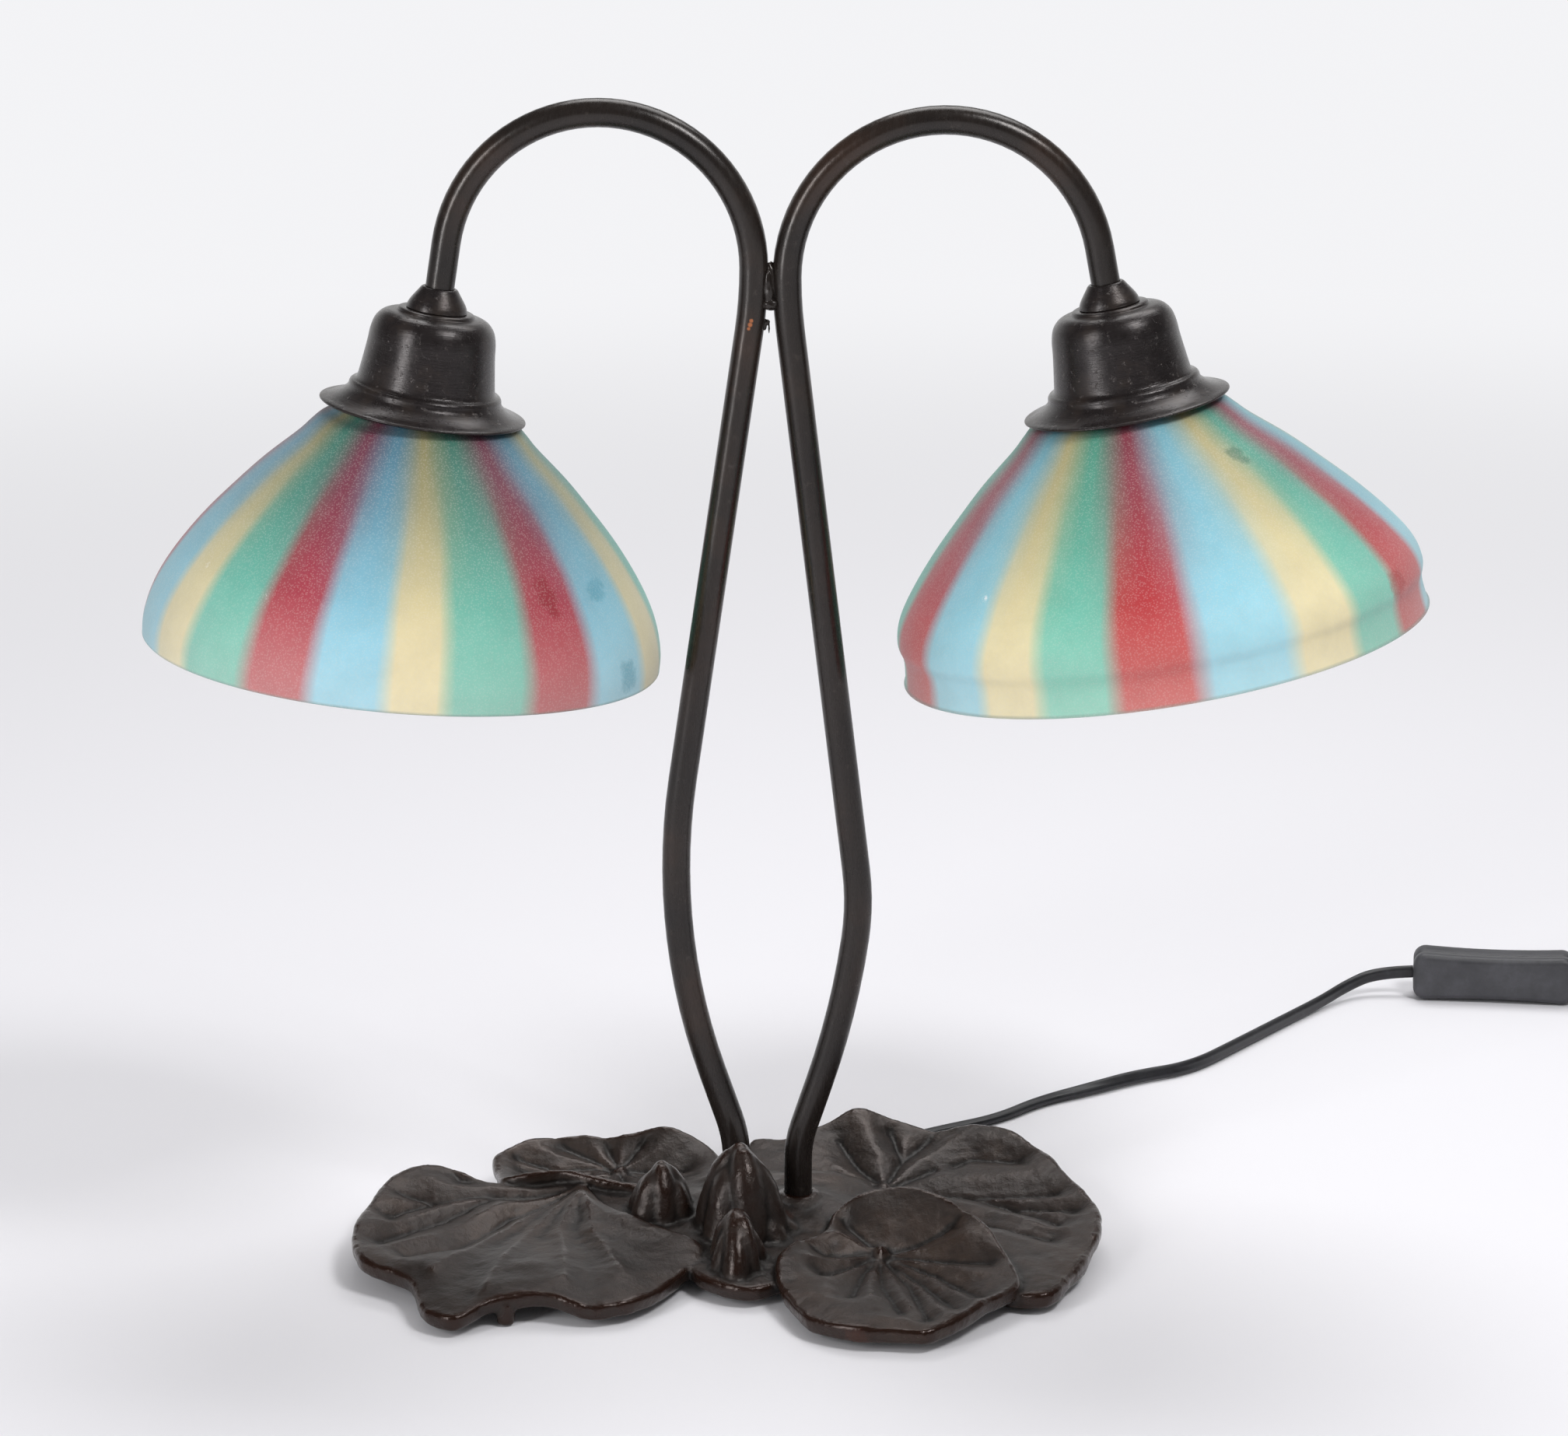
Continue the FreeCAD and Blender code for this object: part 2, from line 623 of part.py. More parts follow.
def bulb_shape():
    """A small round bulb hanging down from z = 0, where it meets its cap."""
    radius = size("bulb_radius")
    neck = size("bulb_neck_radius")
    length = size("bulb_length") - size("bulb_cap_length")
    wall = size("bulb_wall")
    outer = []
    inner = []
    for step in range(9):
        angle = math.radians(130.0 - step * 130.0 / 8)
        outer.append((radius * math.sin(angle), radius - length - radius * math.cos(angle)))
        inner.append(((radius - wall) * math.sin(angle), radius - length - (radius - wall) * math.cos(angle)))
    outer = [(neck, 0.0), (neck + 0.8, -5.0)] + outer
    inner = [(neck - wall, 0.0), (neck + 0.8 - wall, -5.0 - wall / 2)] + inner
    return revolved(smooth_face(outer, inner))


def lampholder_outlines(side):
    """Outlines about the tube's end, measured up from the lower edge of the lampholder."""
    top = "lampholder_length"
    flange = top + " - lampholder_flange_depth"
    socket_floor = top + " - lampholder_neck - lampholder_wall"
    socket_radius = "lampholder_radius - lampholder_wall"
    shell_radius = "bulb_cap_radius + thread_clearance"
    ring_top = "%s - glass_wall - 2 * %s_seat_gap" % (flange, side)
    ring_radius = "shade_ring_radius"
    contact_end = socket_floor + " - lamp_contact_height"
    cap_end = contact_end + " - bulb_cap_length"
    return {
        "lampholder": [
            ("0", top + " - lampholder_neck"), ("tube_diameter / 2", top + " - lampholder_neck"),
            ("tube_diameter / 2", top + " - bell_disc_height - bell_wall"),
            ("lampholder_neck_radius", top + " - bell_disc_height - bell_wall"),
            ("lampholder_neck_radius", top + " - lampholder_neck + 6"),
            ("lampholder_radius", top + " - lampholder_neck + 2"),
            ("lampholder_radius", flange + " + lampholder_flange"),
            ("lampholder_flange_radius", flange + " + lampholder_flange"),
            ("lampholder_flange_radius", flange),
            ("lampholder_radius", flange), ("lampholder_radius", "0"), (socket_radius, "0"),
            (socket_radius, socket_floor), ("0", socket_floor)],
        "lamp_shell": [
            (shell_radius, socket_floor + " - lamp_shell_length"),
            (shell_radius + " + lamp_shell_wall", socket_floor + " - lamp_shell_length"),
            (shell_radius + " + lamp_shell_wall", socket_floor + " - lamp_shell_wall"),
            (socket_radius, socket_floor + " - lamp_shell_wall"), (socket_radius, socket_floor),
            (shell_radius, socket_floor)],
        "lamp_contact": [
            ("0", contact_end), ("lamp_contact_radius * 0.6", contact_end),
            ("lamp_contact_radius", contact_end + " + lamp_contact_height / 2"),
            ("lamp_contact_radius", socket_floor), ("0", socket_floor)],
        "shade_ring": [
            ("lampholder_radius", ring_top + " - shade_ring_height"),
            (ring_radius + " - shade_ring_step", ring_top + " - shade_ring_height"),
            (ring_radius + " - shade_ring_step", ring_top + " - shade_ring_lip"),
            (ring_radius, ring_top + " - shade_ring_lip"), (ring_radius, ring_top),
            ("lampholder_radius", ring_top)],
        "bulb_cap": [
            ("0", contact_end), ("bulb_cap_radius * 0.45", contact_end),
            ("bulb_cap_radius", contact_end + " - 4"),
            ("bulb_cap_radius", cap_end + " + 2"), ("bulb_neck_radius", cap_end), ("0", cap_end)],
    }


NECK_NUT = [
    ("tube_diameter / 2", "0"), ("neck_nut_radius", "0"), ("neck_nut_radius", "neck_nut_height * 0.12"),
    ("neck_nut_radius * 0.93", "neck_nut_height * 0.38"),
    ("neck_nut_radius * 0.82", "neck_nut_height * 0.62"),
    ("neck_nut_radius * 0.72", "neck_nut_height * 0.84"), ("neck_nut_radius * 0.68", "neck_nut_height"),
    ("tube_diameter / 2", "neck_nut_height")]
bell = bell_shape()
bulb = bulb_shape()
socket_depth = size("lampholder_neck") + size("lampholder_wall") + size("lamp_contact_height")
bulb_depth = socket_depth + size("bulb_cap_length")
for side in ("left", "right"):
    end = ends[side]
    subpart("neck_nut_" + side, turned("neck_nut_" + side, NECK_NUT), end)
    holder_place = end.multiply(Placement(Vector(0, 0, -size("lampholder_length")), Rotation()))
    for name, outline in lampholder_outlines(side).items():
        subpart(name + "_" + side, turned(name + "_" + side, outline), holder_place)
    subpart("shade_holder_" + side, feature("shade_holder_" + side, bell.copy(), end))
    crown_seat = -size("lampholder_flange_depth") - size(side + "_seat_gap") - size("glass_wall") / 2
    own_tilt = size(side + "_glass_tilt") - size(side + "_splay")
    lean = Rotation(Vector(0, 1, 0), own_tilt if side == "left" else -own_tilt)
    crown_drop = Placement(Vector(0, 0, size("glass_wall") / 2 - size("glass_crown")), Rotation())
    glass_place = end.multiply(Placement(Vector(0, 0, crown_seat), lean)).multiply(crown_drop)
    glass = glass_shape(size(side + "_glass_radius"))
    subpart("glass_shade_" + side, feature("glass_shade_" + side, glass, glass_place))
    bulb_place = end.multiply(Placement(Vector(0, 0, -bulb_depth), Rotation()))
    subpart("bulb_glass_" + side, feature("bulb_glass_" + side, bulb.copy(), bulb_place))

# ---- terminal block, cover and cord bush under the hub
block_body = primitive("Box", "block_body", "-block_length / 2", block_back + " - block_width",
                       "block_bottom", Length="block_length", Width="block_width", Height="block_height")
block_middle = block_back + " - block_width / 2"
block_wells = []
block_screws = []
for step in (-1, 0, 1):
    x = "%d * block_length / 3" % step
    well_z = "block_bottom + block_height - block_screw_sink"
    block_wells.append(primitive("Cylinder", "block_well", x, block_middle, well_z,
                                 Radius="block_screw_radius + block_screw_gap",
                                 Height="block_screw_sink * 2"))
    block_screws.append(primitive("Cylinder", "block_screw", x, block_middle, well_z,
                                  Radius="block_screw_radius", Height="block_screw_sink * 0.7"))
subpart("terminal_block", cut("terminal_block", block_body, *block_wells), Placement(hub, Rotation()))
screw_group = doc.addObject("Part::Compound", "terminal_screws")
screw_group.Links = block_screws
subpart("terminal_screws", screw_group, Placement(hub, Rotation()))

cover_z = "hub_clearance + cover_margin"
cover = primitive("Box", "cover", "hub_wall - hub_length / 2 + cover_margin",
                  "hub_shift - hub_width / 2 + hub_wall + cover_margin", cover_z,
                  Length="hub_length - 2 * hub_wall - 2 * cover_margin",
                  Width="hub_width - 2 * hub_wall - 2 * cover_margin", Height="cover_thickness")
cover_holes = []
cover_screws = []
for sign in (-1, 1):
    x = "%d * %s" % (sign, post_x)
    cover_holes.append(primitive("Cylinder", "cover_hole", x, "hub_shift", 0,
                                 Radius="cover_screw_radius + cover_margin / 2", Height="hub_top"))
    shank = primitive("Cylinder", "cover_shank", x, "hub_shift", cover_z, Radius="cover_screw_radius",
                      Height="cover_screw_length")
    head = primitive("Cone", "cover_head", x, "hub_shift", cover_z + " - cover_screw_head",
                     Radius1="cover_screw_head_radius * 0.7", Radius2="cover_screw_head_radius",
                     Height="cover_screw_head")
    cover_screws.append(fuse("cover_screw", shank, head))
subpart("cover_plate", cut("cover_plate", cover, *cover_holes), Placement(hub, Rotation()))
cover_group = doc.addObject("Part::Compound", "cover_screws")
cover_group.Links = cover_screws
subpart("cover_screws", cover_group, Placement(hub, Rotation()))

bush = turned("cord_bush", [
    ("cord_diameter / 2", "0"), ("bush_radius", "0"), ("bush_radius", "hub_wall + bush_inside"),
    ("bush_flange_radius", "hub_wall + bush_inside"),
    ("bush_flange_radius", "hub_wall + bush_inside + bush_flange"),
    ("cord_diameter / 2", "hub_wall + bush_inside + bush_flange")])
back_wall = size("hub_shift") + size("hub_width") / 2
cord_exit = hub + Vector(size("exit_x"), back_wall + size("bush_flange"), size("exit_z"))
backward = Rotation(Vector(1, 0, 0), -90)
bush_length = size("hub_wall") + size("bush_inside") + size("bush_flange")
subpart("cord_bush", bush, Placement(cord_exit - Vector(0, bush_length, 0), backward))
tail_start = hub + Vector(size("exit_x"), value_of(block_back), size("exit_z"))
cord_tail = primitive("Cylinder", "cord_tail", Radius="cord_diameter / 2", Height=cord_exit.y - tail_start.y)
subpart("cord_tail", cord_tail, Placement(tail_start, backward))


# ---- free cord
def rounded_route(points, name):
    """Runs joined by tangent arcs; each arc is as large as its two runs allow."""
    edges = []
    radii = []
    start = points[0]
    for index in range(1, len(points) - 1):
        before = points[index] - points[index - 1]
        after = points[index + 1] - points[index]
        turn = before.getAngle(after)
        shorter = min(before.Length, after.Length)
        trim = 0.45 * shorter
        radii.append(trim / math.tan(turn / 2))
        before.normalize()
        after.normalize()
        arc_start = points[index] - before * trim
        arc_end = points[index] + after * trim
        inward = after - before
        sagitta = radii[-1] / math.cos(turn / 2) - radii[-1]
        middle = points[index] + inward.normalize() * sagitta
        edges.append(Part.LineSegment(start, arc_start).toShape())
        edges.append(Part.Arc(arc_start, middle, arc_end).toShape())
        start = arc_end
    edges.append(Part.LineSegment(start, points[-1]).toShape())
    print(name, "smallest bend radius %.1f mm" % min(radii), [round(r) for r in radii])
    return edges


def cord_solid(edges, name):
    radius = size("cord_diameter") / 2
    start = edges[0].firstVertex().Point
    direction = edges[0].tangentAt(edges[0].FirstParameter)
    solid = pipe(edges, radius, start, direction)
    length = sum(edge.Length for edge in edges)
    share = solid.Volume / (math.pi * radius ** 2 * length)
    print(name, "length %.1f mm, volume share %.4f" % (length, share))
    return solid


turn = math.radians(size("switch_turn"))
along = Vector(math.cos(turn), math.sin(turn), 0)
away = Vector(-math.sin(turn), math.cos(turn), 0)
switch_middle = hub + Vector(size("switch_x"), size("switch_y"), size("switch_width") / 2)
switch_place = Placement(switch_middle, Rotation(along, Vector(0, 0, -1), away, "XYZ"))
half_switch = size("switch_length") / 2
route = [cord_exit] + [hub + Vector(*p) for p in CORD_TO_SWITCH] + [switch_middle - along * half_switch]
cord_edges = rounded_route(route, "cord_to_switch")
subpart("cord_to_switch", feature("cord_to_switch", cord_solid(cord_edges, "cord_to_switch")))


def coil_point(angle):
    """Point and direction of the coil at an angle wound from its start, clockwise from above."""
    total = 360.0 * size("coil_turns") + size("coil_start")
    layer = (total - 180.0) / 2
    pitch = size("coil_pitch") / 360.0

    def radius_at(wound):
        if wound <= layer:
            return size("coil_radius") - pitch * wound
        if wound >= total - layer:
            return size("coil_radius") - pitch * (total - wound)
        share = (wound - layer) / 180.0
        return size("coil_radius") - pitch * layer - pitch * 180.0 * (share - share * share)

    def height_at(wound):
        share = min(1.0, max(0.0, (wound - layer) / 180.0))
        return size("coil_z") + size("coil_layer") * share * share * (3 - 2 * share)

    def place(wound):
        bearing = math.radians(size("coil_start") - wound)
        radius = radius_at(wound)
        middle = hub + Vector(size("coil_x"), size("coil_y"), 0)
        return middle + Vector(radius * math.cos(bearing), radius * math.sin(bearing), height_at(wound))

    step = 0.01
    low = max(0.0, angle - step)
    high = min(total, angle + step)
    return place(angle), (place(high) - place(low)).normalize()


def biarc(first, first_way, second, second_way):
    """Two arcs that leave the first point and reach the second along the given directions."""
    gap = second - first
    ways = first_way + second_way
    a = 2 * (1 - first_way.dot(second_way))
    b = 2 * gap.dot(ways)
    c = -gap.dot(gap)
    reach = (-b + math.sqrt(b * b - 4 * a * c)) / (2 * a)
    near = first + first_way * reach
    far = second - second_way * reach
    joint = (near + far) * 0.5
    arcs = []
    for start, way, end in ((first, first_way, joint), (joint, None, second)):
        if way is None:
            way = (far - near).normalize()
        chord = end - start
        normal = (chord - way * chord.dot(way))
        radius = chord.dot(chord) / (2 * normal.Length)
        centre = start + normal.normalize() * radius
        outward = (start + end) * 0.5 - centre
        arcs.append(Part.Arc(start, centre + outward.normalize() * radius, end).toShape())
    return arcs


coil_total = 360.0 * size("coil_turns") + size("coil_start")
quarter_count = int(round(coil_total / 90.0))
coil_edges = []
for quarter in range(quarter_count):
    begin = coil_point(coil_total * quarter / quarter_count)
    finish = coil_point(coil_total * (quarter + 1) / quarter_count)
    coil_edges += biarc(*(begin + finish))
coil_begin, coil_way = coil_point(0.0)
coil_end, coil_end_way = coil_point(coil_total)
straight = size("cord_diameter")
coil_edges.insert(0, Part.LineSegment(coil_begin - coil_way * straight, coil_begin).toShape())
coil_edges.append(Part.LineSegment(coil_end, coil_end + coil_end_way * straight).toShape())
subpart("cord_coil", feature("cord_coil", cord_solid(coil_edges, "cord_coil")))
samples = [coil_point(coil_total * step / 1500)[0] for step in range(1501)]
spread = int(1500 * 200 / coil_total)
least = min(samples[i].distanceToPoint(samples[j]) for i in range(0, 1501, 5)
            for j in range(i + spread, 1501, 3))
print("coil: least gap to itself %.2f mm" % (least - size("cord_diameter")))

to_coil = [switch_middle + along * half_switch] + [hub + Vector(*p) for p in CORD_TO_COIL]
to_coil.append(coil_begin - coil_way * straight)
plug_axis_z = size("plug_height") / 2
relief_start = hub + Vector(size("coil_x") + size("coil_radius"), size("plug_y"), plug_axis_z)
to_plug = [coil_end + coil_end_way * straight] + [hub + Vector(*p) for p in CORD_TO_PLUG] + [relief_start]
lead_in = cord_solid(rounded_route(to_coil, "cord_to_coil"), "cord_to_coil")
lead_out = cord_solid(rounded_route(to_plug, "cord_to_plug"), "cord_to_plug")
subpart("cord_to_coil", feature("cord_to_coil", lead_in))
subpart("cord_to_plug", feature("cord_to_plug", lead_out))

# tie round the bundle of turns
bundle_out = size("coil_radius") + size("cord_diameter") / 2 + size("tie_clearance")
layer_angle = (coil_total - 180.0) / 2
inner_turn = size("coil_radius") - size("coil_pitch") * (layer_angle + 45.0) / 360.0
bundle_in = inner_turn - size("cord_diameter") / 2 - size("tie_clearance")
bundle_low = size("coil_z") - size("cord_diameter") / 2 - size("tie_clearance")
bundle_high = size("coil_z") + size("coil_layer") + size("cord_diameter") / 2 + size("tie_clearance")
band = size("tie_thickness")
tie_length = bundle_out - bundle_in
tie = Part.makeBox(tie_length + 2 * band, size("tie_width"), bundle_high - bundle_low + 2 * band,
                   Vector(bundle_in - band, -size("tie_width") / 2, bundle_low - band))
tie = tie.cut(Part.makeBox(tie_length, size("tie_width"), bundle_high - bundle_low,
                           Vector(bundle_in, -size("tie_width") / 2, bundle_low)))
tie_place = Placement(hub + Vector(size("coil_x"), size("coil_y"), 0), Rotation(up, size("tie_angle")))
subpart("coil_tie", feature("coil_tie", tie, tie_place))


# ---- switch: local X along it, local Z from the flat back to the rocker
def waisted_face(inset):
    length = size("switch_length") / 2 - inset
    width = size("switch_width") / 2 - inset
    waist = size("switch_waist") / 2 - inset
    corner = max(size("switch_corner") - inset, 1.0)
    turn_in = corner * (1 - math.sqrt(0.5))
    edges = []
    # each half: the waisted side, a corner, the short end and the next corner
    for sign in (1, -1):
        side_start = Vector(length - corner, width, 0) * sign
        side_end = Vector(corner - length, width, 0) * sign
        end_start = Vector(-length, width - corner, 0) * sign
        end_stop = Vector(-length, corner - width, 0) * sign
        next_start = Vector(corner - length, -width, 0) * sign
        first_corner = Vector(turn_in - length, width - turn_in, 0) * sign
        second_corner = Vector(turn_in - length, turn_in - width, 0) * sign
        edges.append(Part.Arc(side_start, Vector(0, waist * sign, 0), side_end).toShape())
        edges.append(Part.Arc(side_end, first_corner, end_start).toShape())
        edges.append(Part.LineSegment(end_start, end_stop).toShape())
        edges.append(Part.Arc(end_stop, second_corner, next_start).toShape())
    return Part.Face(Part.Wire(edges))


def slab(inset, low, high):
    face = waisted_face(inset)
    face.translate(Vector(0, 0, low))
    return face.extrude(Vector(0, 0, high - low))


depth_half = size("switch_depth") / 2
seam = -depth_half + size("switch_back")
wall = size("switch_wall")
base_shell = slab(0, -depth_half, seam)
base_shell = base_shell.cut(slab(wall, -depth_half + wall, seam))
cover_shell = slab(0, seam + size("switch_seam"), depth_half)
cover_shell = cover_shell.cut(slab(wall, seam, depth_half - wall))
window_length = size("rocker_length") + 2 * size("rocker_gap")
window_width = size("rocker_width") + 2 * size("rocker_gap")
window = Part.makeBox(window_length, window_width, wall * 3,
                      Vector(-window_length / 2, -window_width / 2, depth_half - 2 * wall))
cheek_reach = size("switch_waist") / 2 - wall
pivot_z = depth_half - wall - size("pivot_sink")
cheek_length = size("cheek_length")
cheek_low = pivot_z - size("cheek_drop")
cheeks = []
for sign in (-1, 1):
    near = window_width / 2
    cheeks.append(Part.makeBox(cheek_length, cheek_reach - near, depth_half - wall - cheek_low,
                               Vector(-cheek_length / 2, near if sign > 0 else -cheek_reach, cheek_low)))
pivot_hole = Part.makeCylinder(size("rocker_pin_radius") + size("pin_clearance"), 2 * cheek_reach,
                               Vector(0, -cheek_reach, pivot_z), Vector(0, 1, 0))
cover_shell = cover_shell.fuse(cheeks).cut(window).cut(pivot_hole).removeSplitter()
subpart("switch_base", feature("switch_base", base_shell, switch_place))
subpart("switch_cover", feature("switch_cover", cover_shell, switch_place))

# the rocker: two faces that meet in a shallow valley, tipped to one side at rest
rocker_half = size("rocker_length") / 2
rocker_top = depth_half + size("rocker_rise") - pivot_z
slant = math.tan(math.radians(size("rocker_angle")))
end_half = rocker_half - size("rocker_end_draft")
end_low = rocker_top - size("rocker_end_height")
root_half = size("rocker_root_width") / 2
root_low = -size("rocker_root_drop")
profile = [(-rocker_half, rocker_top), (0, rocker_top - rocker_half * slant), (rocker_half, rocker_top),
           (end_half, end_low), (root_half, root_low), (-root_half, root_low), (-end_half, end_low)]
profile = [Vector(x, 0, z) for x, z in profile + profile[:1]]
rocker = Part.Face(Part.makePolygon(profile)).extrude(Vector(0, size("rocker_width"), 0))
rocker.translate(Vector(0, -size("rocker_width") / 2, 0))
pin_length = size("rocker_width") + 2 * size("rocker_gap") + 2 * size("rocker_pin_reach")
rocker = rocker.fuse(Part.makeCylinder(size("rocker_pin_radius"), pin_length, Vector(0, -pin_length / 2, 0),
                                       Vector(0, 1, 0)))
rocker_place = switch_place.multiply(Placement(Vector(0, 0, pivot_z),
                                               Rotation(Vector(0, 1, 0), size("rocker_angle"))))
subpart("switch_rocker", feature("switch_rocker", rocker, rocker_place))

contacts = []
for sign in (-1, 1):
    floor = -depth_half + wall
    contact = Part.makeBox(size("contact_length"), size("contact_width"), size("contact_height"),
                           Vector(sign * size("contact_offset") - size("contact_length") / 2,
                                  -size("contact_width") / 2, floor))
    contacts.append(contact)
subpart("switch_contacts", feature("switch_contacts", Part.makeCompound(contacts), switch_place))

# ---- plug: flat two-pin body, its relief and pins; local Y points from the pins back to the cord
plug_front = relief_start - Vector(0, size("plug_relief") + size("plug_length"), 0)
half_width = size("plug_width") / 2
half_nose = size("plug_nose_width") / 2
plug_height = size("plug_height")
length = size("plug_length")
half_neck = size("plug_neck_width") / 2
half_outline = [(half_neck, length), (half_width - 2, length * 0.6), (half_width, length * 0.22),
                (half_nose, 0)]
outline = [(-x, y) for x, y in reversed(half_outline)] + half_outline
outline = [Vector(x, y, 0) for x, y in outline + outline[:1]]
plug = Part.Face(Part.makePolygon(outline)).extrude(Vector(0, 0, plug_height))
rims = [edge for edge in plug.Edges if abs(edge.CenterOfMass.z - plug_height / 2) > plug_height / 2 - 0.01]
plug = plug.makeChamfer(size("plug_chamfer"), rims)
plug.translate(Vector(0, 0, -plug_height / 2))
plug_place = Placement(plug_front, Rotation())
# the sleeve lies flush with the bare end of its pin, so the pin is thinner inside it
pins = []
sleeves = []
sockets = []
forward = Vector(0, -1, 0)
sleeve_length = size("pin_sleeve")
core_radius = size("pin_radius") - size("pin_sleeve_wall")
for sign in (-1, 1):
    x = sign * size("pin_spacing") / 2
    root = Vector(x, size("pin_root"), 0)
    core = Part.makeCylinder(core_radius, size("pin_root") + sleeve_length, root, forward)
    bare = Part.makeCylinder(size("pin_radius"), size("pin_length") - sleeve_length,
                             Vector(x, -sleeve_length, 0), forward)
    pins.append(core.fuse(bare))
    sockets.append(Part.makeCylinder(core_radius, size("pin_root"), root, forward))
    sleeve = Part.makeCylinder(size("pin_radius"), sleeve_length, Vector(x, 0, 0), forward)
    sleeves.append(sleeve.cut(core))
subpart("plug_body", feature("plug_body", plug.cut(sockets[0]).cut(sockets[1]), plug_place))
subpart("plug_pins", feature("plug_pins", Part.makeCompound(pins), plug_place))
subpart("plug_pin_sleeves", feature("plug_pin_sleeves", Part.makeCompound(sleeves), plug_place))
relief = turned("plug_relief", [("0", "0"), ("plug_relief_radius", "0"),
                                ("cord_diameter / 2 + 0.6", "plug_relief"), ("0", "plug_relief")])
subpart("plug_relief", relief, Placement(plug_front + Vector(0, length, 0), backward))

doc.recompute()
problems = [item.Name for item in doc.Objects if {"Invalid", "Error"} & set(item.State)]
for name, item in subparts.items():
    if item.Shape.isNull() or not item.Shape.isValid():
        problems.append(name)
if problems:
    raise RuntimeError("not built: " + ", ".join(problems))
os.makedirs("parts", exist_ok=True)
for name, item in subparts.items():
    item.Shape.exportStep(os.path.join("parts", name + ".step"))
whole = FreeCAD.BoundBox()
on_cord = ("cord", "switch", "coil", "plug")
for name, item in subparts.items():
    if not name.startswith(on_cord):
        whole.add(item.Shape.BoundBox)
print("lamp without its cord: x %.2f to %.2f, y %.2f to %.2f, z %.2f to %.2f"
      % (whole.XMin, whole.XMax, whole.YMin, whole.YMax, whole.ZMin, whole.ZMax))
print(len(subparts), "sub-parts")
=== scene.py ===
import math

import bpy
import bmesh
import numpy
from mathutils import Matrix, Vector, noise


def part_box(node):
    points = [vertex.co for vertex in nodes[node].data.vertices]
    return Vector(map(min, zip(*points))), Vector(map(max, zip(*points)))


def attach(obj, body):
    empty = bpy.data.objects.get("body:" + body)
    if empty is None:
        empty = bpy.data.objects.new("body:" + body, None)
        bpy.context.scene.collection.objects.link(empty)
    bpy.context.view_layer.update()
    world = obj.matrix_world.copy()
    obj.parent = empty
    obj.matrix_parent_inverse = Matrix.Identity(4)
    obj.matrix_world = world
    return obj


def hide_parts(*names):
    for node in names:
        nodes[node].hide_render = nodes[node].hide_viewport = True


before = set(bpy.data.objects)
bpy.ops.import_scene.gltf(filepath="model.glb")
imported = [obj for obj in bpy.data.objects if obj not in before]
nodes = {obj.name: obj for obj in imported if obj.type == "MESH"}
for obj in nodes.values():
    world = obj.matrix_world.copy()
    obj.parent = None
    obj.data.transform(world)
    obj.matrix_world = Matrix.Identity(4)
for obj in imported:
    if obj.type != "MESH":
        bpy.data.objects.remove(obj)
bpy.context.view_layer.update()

scene = bpy.context.scene
scene.view_settings.view_transform = "Standard"

# The hub is the point on the floor midway between the feet of the two tubes.
nutLow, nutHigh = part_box("arm_foot_nuts")
hub = Vector(((nutLow.x + nutHigh.x) / 2, (nutLow.y + nutHigh.y) / 2, 0))


def fromHub(x, y, z):  # millimetres from the hub, to metres in the frame
    return hub + Vector((x, y, z)) / 1000


def linear(hexColour):
    parts = [int(hexColour[i:i + 2], 16) / 255 for i in (1, 3, 5)]
    return [p / 12.92 if p <= 0.04045 else ((p + 0.055) / 1.055) ** 2.4 for p in parts] + [1.0]


def addNode(tree, kind, sockets=None, stops=None, **settings):
    node = tree.nodes.new("ShaderNode" + kind)
    for name, value in settings.items():
        setattr(node, name, value)
    for name, value in (sockets or {}).items():
        if isinstance(value, bpy.types.Node):
            value = value.outputs[0]
        if isinstance(value, bpy.types.NodeSocket):
            tree.links.new(value, node.inputs[name])
        else:
            node.inputs[name].default_value = value
    if stops:
        elements = node.color_ramp.elements
        while len(elements) < len(stops):
            elements.new(0.5)
        for element, (place, colour) in zip(elements, stops):
            element.position = place
            element.color = linear(colour) if isinstance(colour, str) else [colour] * 3 + [1.0]
    return node


def noiseNode(tree, place, scale, detail, roughness=0.5):
    return addNode(tree, "TexNoise",
                   {"Vector": place, "Scale": scale, "Detail": detail, "Roughness": roughness})


def remap(tree, value, low, high, toLow=0.0, toHigh=1.0, **settings):
    sockets = {"Value": value, "From Min": low, "From Max": high, "To Min": toLow, "To Max": toHigh}
    return addNode(tree, "MapRange", sockets, **settings)


def mixed(tree, share, first, second, **settings):  # all first where the share is 0, all second where it is 1
    first, second = [linear(colour) if isinstance(colour, str) else colour for colour in (first, second)]
    return addNode(tree, "MixRGB", {"Fac": share, "Color1": first, "Color2": second}, **settings)


def maths(tree, operation, *values):
    return addNode(tree, "Math", dict(enumerate(values)), operation=operation)


def colourRamp(tree, value, stops):
    return addNode(tree, "ValToRGB", {"Fac": value}, stops)


def startMaterial(name, **values):  # shader values that are the same all over the surface
    material = bpy.data.materials.new(name)
    material.use_nodes = True
    tree = material.node_tree
    for socket, value in values.items():
        tree.nodes["Principled BSDF"].inputs[socket.replace("_", " ")].default_value = value
    return material, tree, addNode(tree, "TexCoord").outputs["Object"]


def finishMaterial(tree, colour, roughness, height=None, strength=0.0,
                   reach=0.0):  # reach of the bumps in metres
    ends = {"Base Color": colour, "Roughness": roughness}
    if height:
        ends["Normal"] = addNode(tree, "Bump", {"Strength": strength, "Distance": reach, "Height": height})
    for socket, node in ends.items():
        tree.links.new(node.outputs[0], tree.nodes["Principled BSDF"].inputs[socket])


